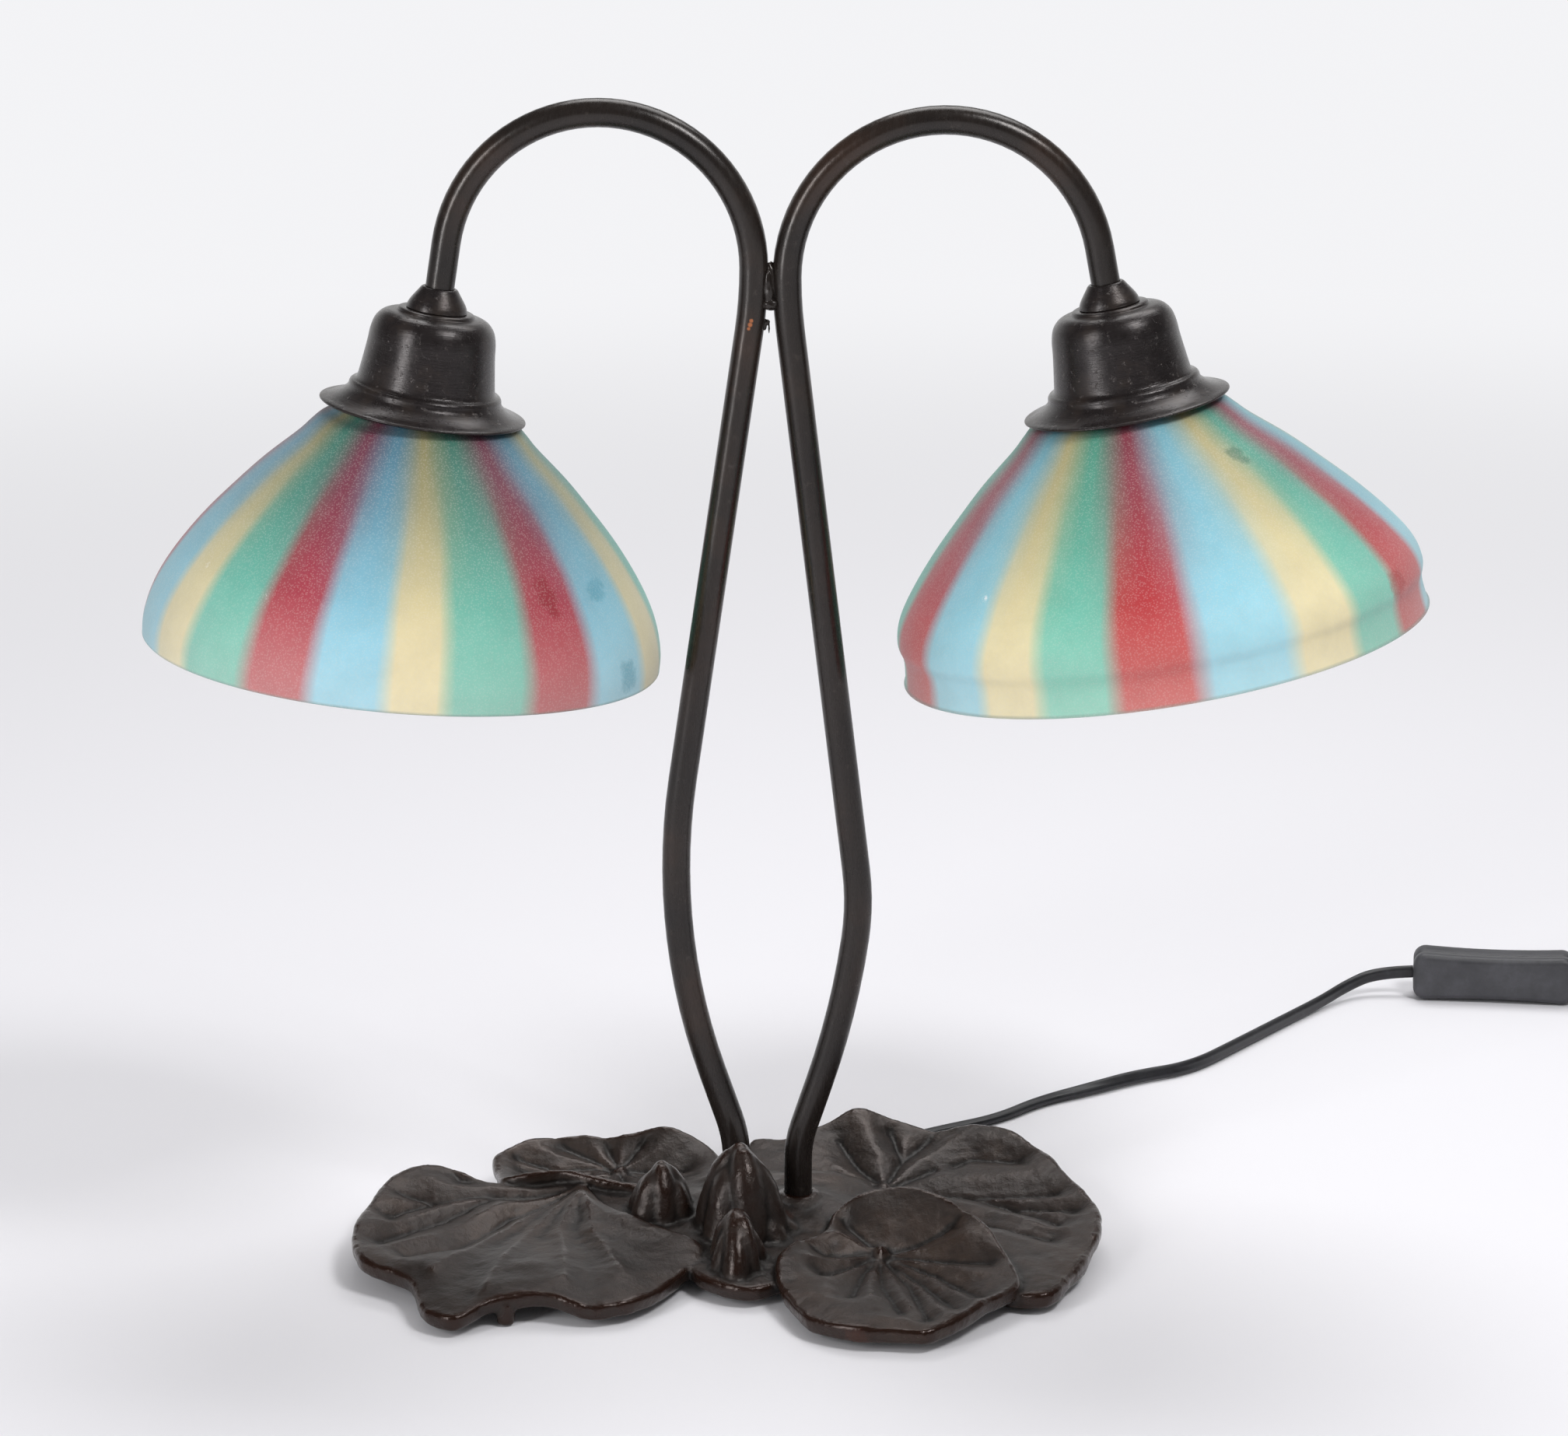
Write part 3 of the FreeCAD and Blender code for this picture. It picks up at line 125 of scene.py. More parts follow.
def makeObject(name, vertices, faces, material, smooth=True):
    mesh = bpy.data.meshes.new(name)
    mesh.from_pydata([tuple(v) for v in vertices], [], faces)
    mesh.materials.append(material)
    mesh.polygons.foreach_set("use_smooth", [smooth] * len(mesh.polygons))
    mesh.update()
    thing = bpy.data.objects.new(name, mesh)
    scene.collection.objects.link(thing)
    return thing


def ringFaces(ringCount, segments, closing):  # quads between rings of points, closed by discs or by a loop
    faces = []
    last = (ringCount - 1) * segments
    for low in range(0, last, segments):
        for i in range(segments):
            j = (i + 1) % segments
            faces.append((low + i, low + j, low + segments + j, low + segments + i))
    if closing == "discs":
        return faces + [tuple(reversed(range(segments))), tuple(range(last, last + segments))]
    return faces + [(last + i, last + (i + 1) % segments, (i + 1) % segments, i) for i in range(segments)]


def circle(segments):
    return [(math.cos(2 * math.pi * i / segments), math.sin(2 * math.pi * i / segments))
            for i in range(segments)]


def standIn(piece, slot, *cadNames):  # a fixed piece that is shown in place of these nodes
    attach(piece, "lamp")
    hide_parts(*cadNames)


# Camera, from the photograph's perspective.
cameraSet = {"place": (-1.8, -1538.49, 594.71), "target": (-1.8, 10.55, 194.1), "focalPixels": 5850,
             "imageWidth": 2016}
cameraData = bpy.data.cameras.new("photoCamera")
cameraData.sensor_width = 36
cameraData.lens = cameraSet["focalPixels"] * cameraData.sensor_width / cameraSet["imageWidth"]
cameraData.clip_start = 0.05
cameraData.clip_end = 100
camera = bpy.data.objects.new("photoCamera", cameraData)
scene.collection.objects.link(camera)
camera.location = Vector(cameraSet["place"]) / 1000
aim = Vector(cameraSet["target"]) / 1000 - camera.location
camera.rotation_euler = aim.to_track_quat("-Z", "Y").to_euler()
scene.camera = camera
print("camera set")

# Mains cord: flat, two cores side by side in one black sheath. Places are in millimetres from the hub.
cordSet = {
    "width": 5.2, "thickness": 3.2, "coreGroove": 0.28, "grooveWidth": 0.2, "squareness": 0.75,
    "profileSteps": 28,
    "exit": (8.0, 32.6, 5.3),
    "toSwitch": [(8, 44, 5.3), (9.6, 57, 4.2), (18, 72, 2.6), (32, 86, 1.8), (50, 98, 1.7), (67.3, 110, 1.7),
                 (89.3, 123, 1.7), (106, 143, 1.8), (127, 155, 2.8), (146, 169, 3.1), (169, 180, 3.0),
                 (191, 210, 3.0), (217, 246, 3.0), (231, 264, 3.5), (242.5, 277.8, 5.6), (256.0, 285.0, 9.4)],
    "switchLeft": (271.52, 283.01, 10.5), "switchRight": (337.98, 274.49, 10.5),
    "toCoil": [(350, 273.0, 9.8), (363, 271.9, 5.0), (376.1, 270.4, 2.2), (382.2, 269.2, 2.3)],
    "coilCentre": (385.4, 227.1), "coilRadius": 41.0, "coilPitch": 5.75, "coilTurns": 7, "coilStart": 80.0,
    "coilLow": 2.4, "coilHigh": 6.0, "pointsPerTurn": 16,
    "toPlug": [(426.4, 221, 5.8), (426.4, 211, 6.2), (426.4, 199, 6.7)], "reliefStart": (426.4, 187, 6.9),
    "lengthToSwitch": 0.381, "lengthToPlug": 1.487,
    "twist": {9: 0.5, 10: 1.0, 11: 1.4, 12: 1.55, 13: 1.57, 14: 1.57, 15: 1.57, 16: 1.57, 17: 1.57},
}


def cordProfile(name):
    half, thick, square = cordSet["width"] / 2000, cordSet["thickness"] / 2000, cordSet["squareness"]
    curve = bpy.data.curves.new(name, "CURVE")
    curve.dimensions = "2D"
    spline = curve.splines.new("POLY")
    points = []
    for across, up in circle(cordSet["profileSteps"]):
        x = half * math.copysign(abs(across) ** square, across)
        y = thick * math.copysign(abs(up) ** square, up)
        y -= math.copysign(cordSet["coreGroove"] / 1000 * math.exp(-(x / half / cordSet["grooveWidth"]) ** 2),
                           y)
        points.append((x, y, 0, 1))
    spline.points.add(len(points) - 1)
    for point, place in zip(spline.points, points):
        point.co = place
    spline.use_cyclic_u = True
    return bpy.data.objects.new(name, curve)


def makeCord(name, points, twist, material, profile):
    curve = bpy.data.curves.new(name, "CURVE")
    curve.dimensions = "3D"
    curve.twist_mode = "Z_UP"
    curve.resolution_u = 8
    curve.bevel_mode = "OBJECT"
    curve.bevel_object = profile
    curve.use_fill_caps = True
    spline = curve.splines.new("NURBS")
    spline.points.add(len(points) - 1)
    for index, (point, place) in enumerate(zip(spline.points, points)):
        point.co = (*fromHub(*place), 1)
        point.tilt = twist.get(index, 0.0)
    spline.order_u = 3
    spline.use_endpoint_u = True
    curve.materials.append(material)
    thing = bpy.data.objects.new(name, curve)
    scene.collection.objects.link(thing)
    return thing


def coilPoints():  # a spiral in, up one layer, and a spiral out over it
    total = 360.0 * cordSet["coilTurns"] + cordSet["coilStart"]
    layer = (total - 180.0) / 2
    pitch = cordSet["coilPitch"] / 360.0
    low, high = cordSet["coilLow"], cordSet["coilHigh"]
    count = round(total * cordSet["pointsPerTurn"] / 360)
    points = []
    for step in range(count + 1):
        wound = total * step / count
        share = min(1.0, max(0.0, (wound - layer) / 180.0))
        depth = wound if wound <= layer else total - wound
        if 0 < share < 1:
            depth = layer + 180.0 * (share - share * share)
        radius = cordSet["coilRadius"] - pitch * depth
        bearing = math.radians(cordSet["coilStart"] - wound)
        rise = low + (high - low) * share * share * (3 - 2 * share)
        points.append((cordSet["coilCentre"][0] + radius * math.cos(bearing),
                       cordSet["coilCentre"][1] + radius * math.sin(bearing), rise))
    return points


# Black PVC, extruded: soft satin skin with faint drag lines and dust.
sheath, tree, place = startMaterial("extrudedPvcSheath", Metallic=0.0, IOR=1.53)
dust = noiseNode(tree, place, 260.0, 4.0, 0.6)
tone = colourRamp(tree, dust, [(0.35, "#17171a"), (0.62, "#222226"), (0.8, "#37373b")])
skin = noiseNode(tree, place, 900.0, 2.0)
finishMaterial(tree, tone, remap(tree, dust, 0.0, 1.0, 0.34, 0.5), skin, 0.12, 0.0002)

cordOutline = cordProfile("cordOutline")
switchRun = [cordSet["exit"], *cordSet["toSwitch"], cordSet["switchLeft"]]
plugRun = [cordSet["switchRight"], *cordSet["toCoil"], *coilPoints(), *cordSet["toPlug"],
           cordSet["reliefStart"]]
switchCord = makeCord("switch_cord", switchRun, cordSet["twist"], sheath, cordOutline)
plugCord = makeCord("plug_cord", plugRun, {}, sheath, cordOutline)
print("cords laid")

# Cast base: four lily pads, three buds and a raised middle, cast in one piece.
castSet = {
    "plate": 4.5, "edge": 6.0, "lip": 1.5, "voxel": 0.7, "veinDepth": 1.3, "panelPuff": 3.2,
    "foldHeight": 3.6,
    "hubLength": 62.0, "hubWidth": 50.0, "hubShift": 6.0, "hubTop": 15.0, "hubLow": 1.0, "wall": 3.5,
    "roof": 3.0,
    "blockTop": 10.0, "moundHalf": (40.0, 34.0), "moundEdge": 9.0, "moundTop": 16.0, "wrinkle": 1.5,
    "pegRadius": 3.2, "pegFoot": [(2.9, 0.5), (3.2, 1.0)], "tubeGap": 5.15, "tubeSpacing": 22.2,
    "boss": [(13, 12), (12.4, 13.4), (9.4, 15.6), (7, 17.5)],
    "channel": {"left": 3, "right": 13, "end": 47, "top": 9.9}, "below": -5, "budFoot": 8,
    "smoothing": 10, "handwork": 0.0017, "handworkScale": 0.014, "reliefRounds": 14, "fullRelief": 0.0006,
    "chips": [(-66.5, -95.4, 8, 1.5), (-66.2, -93.6, 10, 1.2), (-67.2, -95, 5, 1.0)],
    "glossy": [(-104, -101, 8, 9), (-92, -101, 9, 8), (-30, -76, 11, 8), (14, -104, 9, 7), (30, -107, 9, 9),
               (105, -46, 9, 10),
               (-14, -34, 22, 7), (-8, -60, 14, 8), (-38, -16, 16, 6)],
    "ruddy": [(5.7, -15.8, 14, 4), (30, -111, 4, 5), (2, -20, 22, 4)],
}
# Each pad: rim points (x, y, top of the rim), middle, how late the dish rises, knobs as (x, y, rise, reach),
# and its veins, each with -1 for a sunken line or a smaller plus value for a raised one, then its points.
pads = {
    "frontLeft": {
        "rim": [(-23, -39, 12), (-31, -62, 9), (-49, -86, 9), (-59, -89, 8.4), (-78, -85, 12),
                (-94, -88, 10.5),
                (-107, -98, 8.4), (-116, -93, 8.4), (-125, -69, 11), (-142, -55, 13), (-147, -37, 14),
                (-143, -4, 16), (-135, 19, 18), (-121, 26, 19), (-102, 19, 16), (-84, 19, 14), (-68, 15, 15),
                (-58, -6, 14), (-42, -24, 15)],
        "middle": (-82, -34, 10.5), "rise": 2.0,
        "knobs": [(-69, 9, 1.8, 9.0), (-58, -10, 1.6, 10.0), (-112, -20, -2.0, 18.0), (-82, -62, 2.4, 14.0),
                  (-122, -60, 1.8, 12.0)],
        "veins": [(-1, (-71, 16), (-112, 18), (-122, 31)), (-1, (-71, 14), (-100, 10), (-121, 3), (-134, 6)),
                  (-1, (-121, 3), (-136, -12)), (-1, (-71, 12), (-100, 8), (-127, -20), (-138, -34)),
                  (-1, (-70, 10), (-92, -7), (-111, -34), (-127, -46)),
                  (0.5, (-69, 8), (-86, -14), (-100, -36), (-116, -66)),
                  (0.6, (-69, 6), (-86, -34), (-93, -57), (-97, -78)),
                  (0.7, (-68, 4), (-74, -28), (-71, -49), (-70, -74)),
                  (0.7, (-66, 2), (-62, -31), (-50, -66)), (0.5, (-64, 2), (-45, -20), (-33, -28))],
    },
    "backLeft": {
        "rim": [(-16, 44, 12), (-22, 57, 15), (-39, 64, 20), (-54, 63, 17), (-76, 63, 17), (-93, 58, 16),
                (-102, 46, 14), (-100, 32, 13), (-97, 19, 15.5), (-86, 17, 18), (-76, 17, 19), (-64, 13, 18),
                (-50, 10, 16), (-32, 14, 13), (-18, 28, 12)],
        "middle": (-58, 38, 10), "rise": 2.2, "knobs": [(-55, 46, 1.5, 3.0)],
        "veins": [(-1, (-56, 47), (-64, 48), (-78, 45), (-93, 50)), (-1, (-58, 48), (-67, 54), (-79, 60)),
                  (-1, (-56, 49), (-61, 61)), (-1, (-54, 49), (-47, 60)), (-1, (-52, 46), (-32, 44)),
                  (-1, (-52, 44), (-32, 33)), (-1, (-59, 45), (-74, 36), (-88, 34)),
                  (-1, (-58, 44), (-68, 26)),
                  (-1, (-55, 43), (-49, 24)), (-1, (-78, 45), (-90, 41))],
    },
    "backRight": {
        "rim": [(-8, 46, 13), (-6, 60, 16), (8, 61, 16), (20, 66, 20), (34, 72, 24), (48, 70, 21),
                (62, 66, 18),
                (76, 65, 20), (88, 59, 21), (101, 42, 19), (112, 16, 16), (120, -10, 14), (118, -28, 12),
                (108, -58, 9), (96, -77, 8.4), (84, -74, 7.4), (66, -52, 5.6), (36, -20, 6.0), (14, 8, 11),
                (0, 28, 12)],
        "middle": (54, 10, 9.5), "rise": 2.2, "knobs": [(43, 29, 1.5, 3.0), (84, -24, 3.0, 16.0)],
        "veins": [(-1, (40, 29), (17, 35)), (-1, (41, 32), (34, 42), (27, 58)),
                  (-1, (44, 31), (50, 48), (46, 64)),
                  (-1, (50, 48), (64, 66)), (-1, (46, 29), (60, 41), (76, 46), (93, 39)),
                  (-1, (47, 27), (73, 18), (89, 5), (112, -4)), (-1, (73, 18), (106, 11)),
                  (-1, (47, 24), (72, -6), (88, -22), (101, -27)), (-1, (88, 5), (104, -14))],
    },
    "frontRight": {
        "rim": [(88, -72, 11), (86, -58, 13), (82, -44, 16), (74, -28, 20), (62, -17, 23), (50, -11, 24),
                (36, -11, 22), (24, -18, 18), (20, -30, 14), (10, -42, 15), (4, -52, 14), (3, -66, 12),
                (7, -83, 10), (15, -100, 9), (27, -108, 9), (44, -111, 9), (54, -112, 9), (66, -102, 10),
                (76, -89, 11)],
        "middle": (44, -58, 9.4), "rise": 2.8,
        "knobs": [(40, -37, 1.8, 2.6), (46, -30, -2.2, 15.0), (34, -84, 2.0, 18.0)],
        "veins": [(-1, (38, -38), (21, -44), (14, -41)), (-1, (37, -40), (31, -49), (20, -58)),
                  (-1, (38, -41), (33, -60), (29, -82)), (-1, (40, -41), (40, -70), (46, -94)),
                  (-1, (42, -41), (50, -70), (55, -98)), (-1, (42, -40), (54, -66), (65, -90)),
                  (-1, (43, -39), (58, -56), (74, -80)), (-1, (44, -38), (64, -47), (80, -54)),
                  (-1, (44, -35), (62, -30), (73, -24)), (-1, (38, -34), (28, -22)),
                  (0.8, (36, -38), (24, -33), (18, -34))],
    },
    "web": {
        "rim": [(-22, -62, 9), (-6, -71, 8.4), (8, -62, 9), (16, -40, 10), (27, -18, 12), (24, 8, 13),
                (-10, 12, 13),
                (-48, 22, 13), (-66, 17, 13), (-70, 6, 13), (-58, -8, 12), (-50, -18, 11), (-40, -30, 11),
                (-30, -48, 10)],
        "middle": (-14, -28, 11), "rise": 2.0, "knobs": [], "veins": [],
    },
}
# Each bud: its axis, core radius, top, how deep it is for its width, and its petals as
# (bearing, distance from the axis, radius, share of the height).
buds = [{"place": (-9.6, -20), "radius": 9.5, "top": 44.0, "deep": 1.05,
         "petals": [(-128, 9.6, 8.0, 0.84), (-72, 10.6, 7.6, 0.97), (-24, 11.8, 7.0, 0.9),
                    (8, 12.4, 6.4, 0.72), (60, 9.5, 7.5, 0.9),
                    (115, 9.0, 7.0, 0.84), (168, 10.4, 7.0, 0.93), (-38, 15.5, 6.4, 0.5),
                    (-4, 18.0, 6.0, 0.42)]},
        {"place": (-38.0, -6.0), "radius": 7.2, "top": 32.5, "deep": 1.05,
         "petals": [(-134, 7.4, 6.4, 0.88), (-84, 7.8, 5.0, 0.97), (-34, 8.0, 6.0, 0.8), (18, 7.0, 5.4, 0.92),
                    (80, 6.5, 5.6, 0.9),
                    (160, 7.8, 6.2, 0.82)]},
        {"place": (-10.6, -49.0), "radius": 7.0, "top": 29.5, "deep": 1.75,
         "petals": [(-140, 5.8, 5.4, 0.78), (-92, 7.4, 5.0, 0.86), (-48, 6.2, 4.8, 0.96), (10, 6.4, 5.0, 0.8),
                    (60, 5.4, 5.2, 0.95),
                    (158, 5.9, 5.2, 0.9)]}]
pegs = [(-90.0, -84.0, 8.0), (92.0, -66.0, 8.0), (66.0, 40.0, 12.0), (-62.0, 42.0, 9.0)]


def smoothLoop(points, count):  # a closed curve through the points, cut into equal steps between them
    points = numpy.array(points, float)
    total = len(points)
    ahead = numpy.roll(points, -1, 0) - points
    gaps = numpy.linalg.norm(ahead, axis=1)
    slopes = ahead / gaps[:, None]
    before = numpy.roll(slopes, 1, 0)
    gapBefore = numpy.roll(gaps, 1)
    tangents = (before * gaps[:, None] + slopes * gapBefore[:, None]) / (gaps + gapBefore)[:, None]
    along = numpy.concatenate([[0], numpy.cumsum(gaps)])
    wanted = numpy.linspace(0, along[-1], count, endpoint=False)
    index = numpy.clip(numpy.searchsorted(along, wanted, side="right") - 1, 0, total - 1)
    t = ((wanted - along[index]) / gaps[index])[:, None]
    gap = gaps[index][:, None]
    following = (index + 1) % total
    return ((2 * t ** 3 - 3 * t ** 2 + 1) * points[index] + (t ** 3 - 2 * t ** 2 + t) * gap * tangents[index]
            + (3 * t ** 2 - 2 * t ** 3) * points[following] + (t ** 3 - t ** 2) * gap * tangents[following])


def veinHeight(x, y, pad):  # sunken lines with the leaf puffed up between them, raised folds, and knobs
    nearest = numpy.full(x.shape, 99.0)
    line = numpy.zeros(x.shape)
    folds = numpy.zeros(x.shape)
    for relief, *path in pad["veins"]:
        distance = numpy.full(x.shape, 99.0)
        for (ax, ay), (bx, by) in zip(path, path[1:]):
            length = math.hypot(bx - ax, by - ay)
            share = numpy.clip(((x - ax) * (bx - ax) + (y - ay) * (by - ay)) / length ** 2, 0, 1)
            distance = numpy.minimum(distance,
                                     numpy.hypot(x - ax - share * (bx - ax), y - ay - share * (by - ay)))
        if relief < 0:
            line -= castSet["veinDepth"] * numpy.exp(-(distance / 1.2) ** 2)
            nearest = numpy.minimum(nearest, distance)
        else:
            folds = numpy.maximum(folds, relief * castSet["foldHeight"] * numpy.exp(-distance / 5.0))
    for kx, ky, rise, reach in pad["knobs"]:
        line += rise * numpy.exp(-(numpy.hypot(x - kx, y - ky) / reach) ** 2)
    return line + folds - castSet["panelPuff"] * (numpy.exp(-(nearest / 6.5) ** 2) - 0.35)


def padMesh(pad, segments=420, rings=80):
    rim = smoothLoop(pad["rim"], segments)
    if (rim[:, 0] * numpy.roll(rim[:, 1], -1) - rim[:, 1] * numpy.roll(rim[:, 0], -1)).sum() < 0:
        rim = rim[::-1]  # always anticlockwise from above, so that the lip turns outwards
    middle = numpy.array(pad["middle"], float)
    tangent = numpy.roll(rim, -1, 0)[:, :2] - numpy.roll(rim, 1, 0)[:, :2]
    tangent /= numpy.linalg.norm(tangent, axis=1)[:, None]
    outward = numpy.stack([tangent[:, 1], -tangent[:, 0]], -1)
    lip = castSet["lip"]

    def around(inward, drop):  # the rim's line, drawn in and lowered
        return numpy.concatenate([rim[:, :2] - outward * inward, rim[:, 2:] - drop], 1)

    inside = around(lip, 0)
    shares = numpy.linspace(0.02, 1.0, rings)[:, None]
    x = middle[0] + (inside[None, :, 0] - middle[0]) * shares
    y = middle[1] + (inside[None, :, 1] - middle[1]) * shares
    top = middle[2] + (inside[None, :, 2] - middle[2]) * shares ** pad["rise"]
    fade = 0.25 + 0.75 * numpy.clip((1.0 - shares) / 0.14, 0, 1)
    top = top + veinHeight(x, y, pad) * fade if pad["veins"] else top
    under = middle[2] + (inside[None, :, 2] - middle[2]) * shares ** 2 - castSet["plate"]
    under = under - (castSet["edge"] - castSet["plate"]) * numpy.clip((shares - 0.7) / 0.3, 0, 1) ** 2
    under = numpy.minimum(under, top - 2.5)
    lipEnd = top[-1] - inside[:, 2]
    vertices = [numpy.stack([x, y, top], -1).reshape(-1, 3)]
    for inward, drop in ((lip * 0.62, 0.12), (lip * 0.29, 0.45), (lip * 0.08, lip * 0.65), (0, lip),
                         (0.15, castSet["edge"] * 0.6),
                         (0.5, castSet["edge"] * 0.85), (1.1, castSet["edge"] - 0.1)):
        ring = around(inward, drop)
        ring[:, 2] += lipEnd
        vertices.append(ring)
    vertices.append(numpy.stack([x, y, under], -1)[:-1][::-1].reshape(-1, 3))
    vertices = numpy.concatenate(vertices)
    return vertices, ringFaces(len(vertices) // segments, segments, "discs")


def lobeMesh(place, bearing, distance, radius, top, deep, segments=48,
             rings=36):  # a petal that leans on the bud
    vertices = []
    for ring in range(rings):
        h = (ring + 0.3) / rings
        middle = distance * (1 - 0.76 * h * h)
        across = radius * (1 - h ** 6) ** 0.5 * (1 - 0.2 * h)
        cx = place[0] + middle * math.cos(bearing)
        cy = place[1] + middle * math.sin(bearing) * deep
        vertices += [(cx + across * c, cy + across * d, 5 + (top - 5) * h) for c, d in circle(segments)]
    return numpy.array(vertices), ringFaces(rings, segments, "discs")


def budMeshes(bud):
    quarter = [math.pi / 2 * (k + 0.3) / 30 for k in range(30)]
    foot, tall = castSet["budFoot"], bud["top"] - castSet["budFoot"] - 0.8
    core = [(bud["radius"] * math.cos(r), foot + tall * math.sin(r)) for r in quarter]
    middle, faces = turnedMesh([(bud["radius"], 4)] + core, 72)
    middle = middle * (1, bud["deep"], 1) + (*bud["place"], 0)
    petals = [lobeMesh(bud["place"], math.radians(bearing), distance, radius, 5 + (bud["top"] - 5) * share,
                       bud["deep"])
              for bearing, distance, radius, share in bud["petals"]]
    return [(middle, faces)] + petals


def moundMesh(segments=220, rings=60):  # soft rise over the middle, where the pads run together
    vertices = []
    (halfLong, halfDeep), low, high = castSet["moundHalf"], castSet["moundEdge"], castSet["moundTop"]
    for ring in range(rings):
        share = 1.0 - ring / rings
        for i in range(segments):
            angle = 2 * math.pi * i / segments
            c, d = math.cos(angle), math.sin(angle)
            reach = (abs(c) ** 4 + abs(d) ** 4) ** -0.25 * share
            rise = low + (high - low) * (1 - share ** 4)
            rise += castSet["wrinkle"] * share * (1 - share ** 6) * math.sin(5 * angle + 6 * share)
            vertices.append((halfLong * c * reach, castSet["hubShift"] + halfDeep * d * reach, rise))
    foot = [(x, y, 6.0) for x, y, z in vertices[:segments]]
    return numpy.array(foot + vertices), ringFaces(rings + 1, segments, "discs")


def blockMesh(low, high):
    (ax, ay, az), (bx, by, bz) = low, high
    vertices = [(x, y, z) for z in (az, bz) for x, y in ((ax, ay), (bx, ay), (bx, by), (ax, by))]
    faces = [(3, 2, 1, 0), (4, 5, 6, 7), (0, 1, 5, 4), (1, 2, 6, 5), (2, 3, 7, 6), (3, 0, 4, 7)]
    return numpy.array(vertices, float), faces


def turnedMesh(outline, segments=48, place=(0, 0, 0)):  # outline as (radius, height), closed by end discs
    vertices = [(place[0] + radius * c, place[1] + radius * d, place[2] + height)
                for radius, height in outline for c, d in circle(segments)]
    return numpy.array(vertices), ringFaces(len(outline), segments, "discs")


def joinMeshes(name, parts, material):
    vertices, faces, offset = [], [], 0
    for points, quads in parts:
        vertices.append(points)
        faces += [tuple(i + offset for i in face) for face in quads]
        offset += len(points)
    vertices = numpy.concatenate(vertices) / 1000 + numpy.array(hub)
    return makeObject(name, vertices, faces, material)


def applyModifiers(thing):
    depsgraph = bpy.context.evaluated_depsgraph_get()
    mesh = bpy.data.meshes.new_from_object(thing.evaluated_get(depsgraph))
    thing.modifiers.clear()
    thing.data = mesh
    mesh.polygons.foreach_set("use_smooth", [True] * len(mesh.polygons))


def melt(thing, voxel, rounds):  # one skin over all the parts, smoothed this many times
    remesh = thing.modifiers.new("remesh", "REMESH")
    remesh.mode = "VOXEL"
    remesh.voxel_size = voxel
    soften = thing.modifiers.new("soften", "SMOOTH")
    soften.factor = 0.5
    soften.iterations = rounds


def storeRelief(mesh, name, rounds, full):  # how proud each point stands, from -1 to 1, as a share of full
    count = len(mesh.vertices)
    place, normal = numpy.empty(count * 3), numpy.empty(count * 3)
    mesh.vertices.foreach_get("co", place)
    mesh.vertices.foreach_get("normal", normal)
    place, normal = place.reshape(-1, 3), normal.reshape(-1, 3)
    edges = numpy.empty(len(mesh.edges) * 2, int)
    mesh.edges.foreach_get("vertices", edges)
    first, second = edges[0::2], edges[1::2]
    degree = numpy.bincount(edges, minlength=count).astype(float)
    smooth = place.copy()
    for turn in range(rounds):
        total = [numpy.bincount(first, smooth[second, k], count)
                 + numpy.bincount(second, smooth[first, k], count)
                 for k in range(3)]
        smooth = numpy.stack(total, -1) / degree[:, None]
    proud = ((place - smooth) * normal).sum(1) / full
    attribute = mesh.attributes.new(name, "FLOAT", "POINT")
    attribute.data.foreach_set("value", numpy.clip(proud, -1, 1))


# Cast metal under a brown-black patina: dull and slightly grainy, darker in the hollows, redder and glossy
# where hands have rubbed the rims and buds, with a few bare chips.
patina, tree, place = startMaterial("castMetalBrownPatina", Metallic=0.35, IOR=1.5)
proud = addNode(tree, "Attribute", attribute_name="proud").outputs["Fac"]
clouds = noiseNode(tree, place, 26.0, 8.0, 0.7)
grain = noiseNode(tree, place, 900.0, 3.0, 0.7)
pits = addNode(tree, "TexVoronoi", {"Vector": place, "Scale": 420.0})
tone = colourRamp(tree, clouds, [(0.3, "#221b18"), (0.5, "#2e2521"), (0.72, "#41332b")])
worn = remap(tree, proud, 0.12, 0.75)
hollow = remap(tree, proud, -0.03, -0.4)
sunken = mixed(tree, hollow, tone, "#191310")
edged = mixed(tree, worn, sunken, "#2a1912")
sharpness = noiseNode(tree, place, 330.0, 5.0, 0.8)


def spotsAt(tree, place, spots, ragged):  # spots with ragged edges, each as x, y, z and reach in mm
    total = None
    for x, y, z, reach in spots:
        away = addNode(tree, "VectorMath", {0: place, 1: (x / 1000, y / 1000, z / 1000)},
                       operation="DISTANCE")
        rough = maths(tree, "MULTIPLY_ADD", ragged, reach / 700, away.outputs["Value"])
        near = remap(tree, rough, reach * 1.9 / 1000, reach * 1.4 / 1000)
        total = near if total is None else maths(tree, "MAXIMUM", total, near)
    return total


def seenSpots(spots):  # from the hub to the frame's millimetres
    return [(x + hub.x * 1000, y + hub.y * 1000, z, reach) for x, y, z, reach in spots]


chips, ruddy, glossy = [spotsAt(tree, place, seenSpots(castSet[name]), sharpness)
                        for name in ("chips", "ruddy", "glossy")]
reddened = mixed(tree, maths(tree, "MULTIPLY", ruddy, 0.26), edged, "#5a3326")
bared = mixed(tree, chips, reddened, "#a39a90")
rubbed = maths(tree, "MULTIPLY", worn, clouds)
rubbed = maths(tree, "MAXIMUM", rubbed, maths(tree, "MULTIPLY", glossy, worn))
height = maths(tree, "ADD", grain, maths(tree, "MULTIPLY", pits, 0.6))
finishMaterial(tree, bared, remap(tree, rubbed, 0.0, 0.45, 0.42, 0.18), height, 0.45, 0.0004)

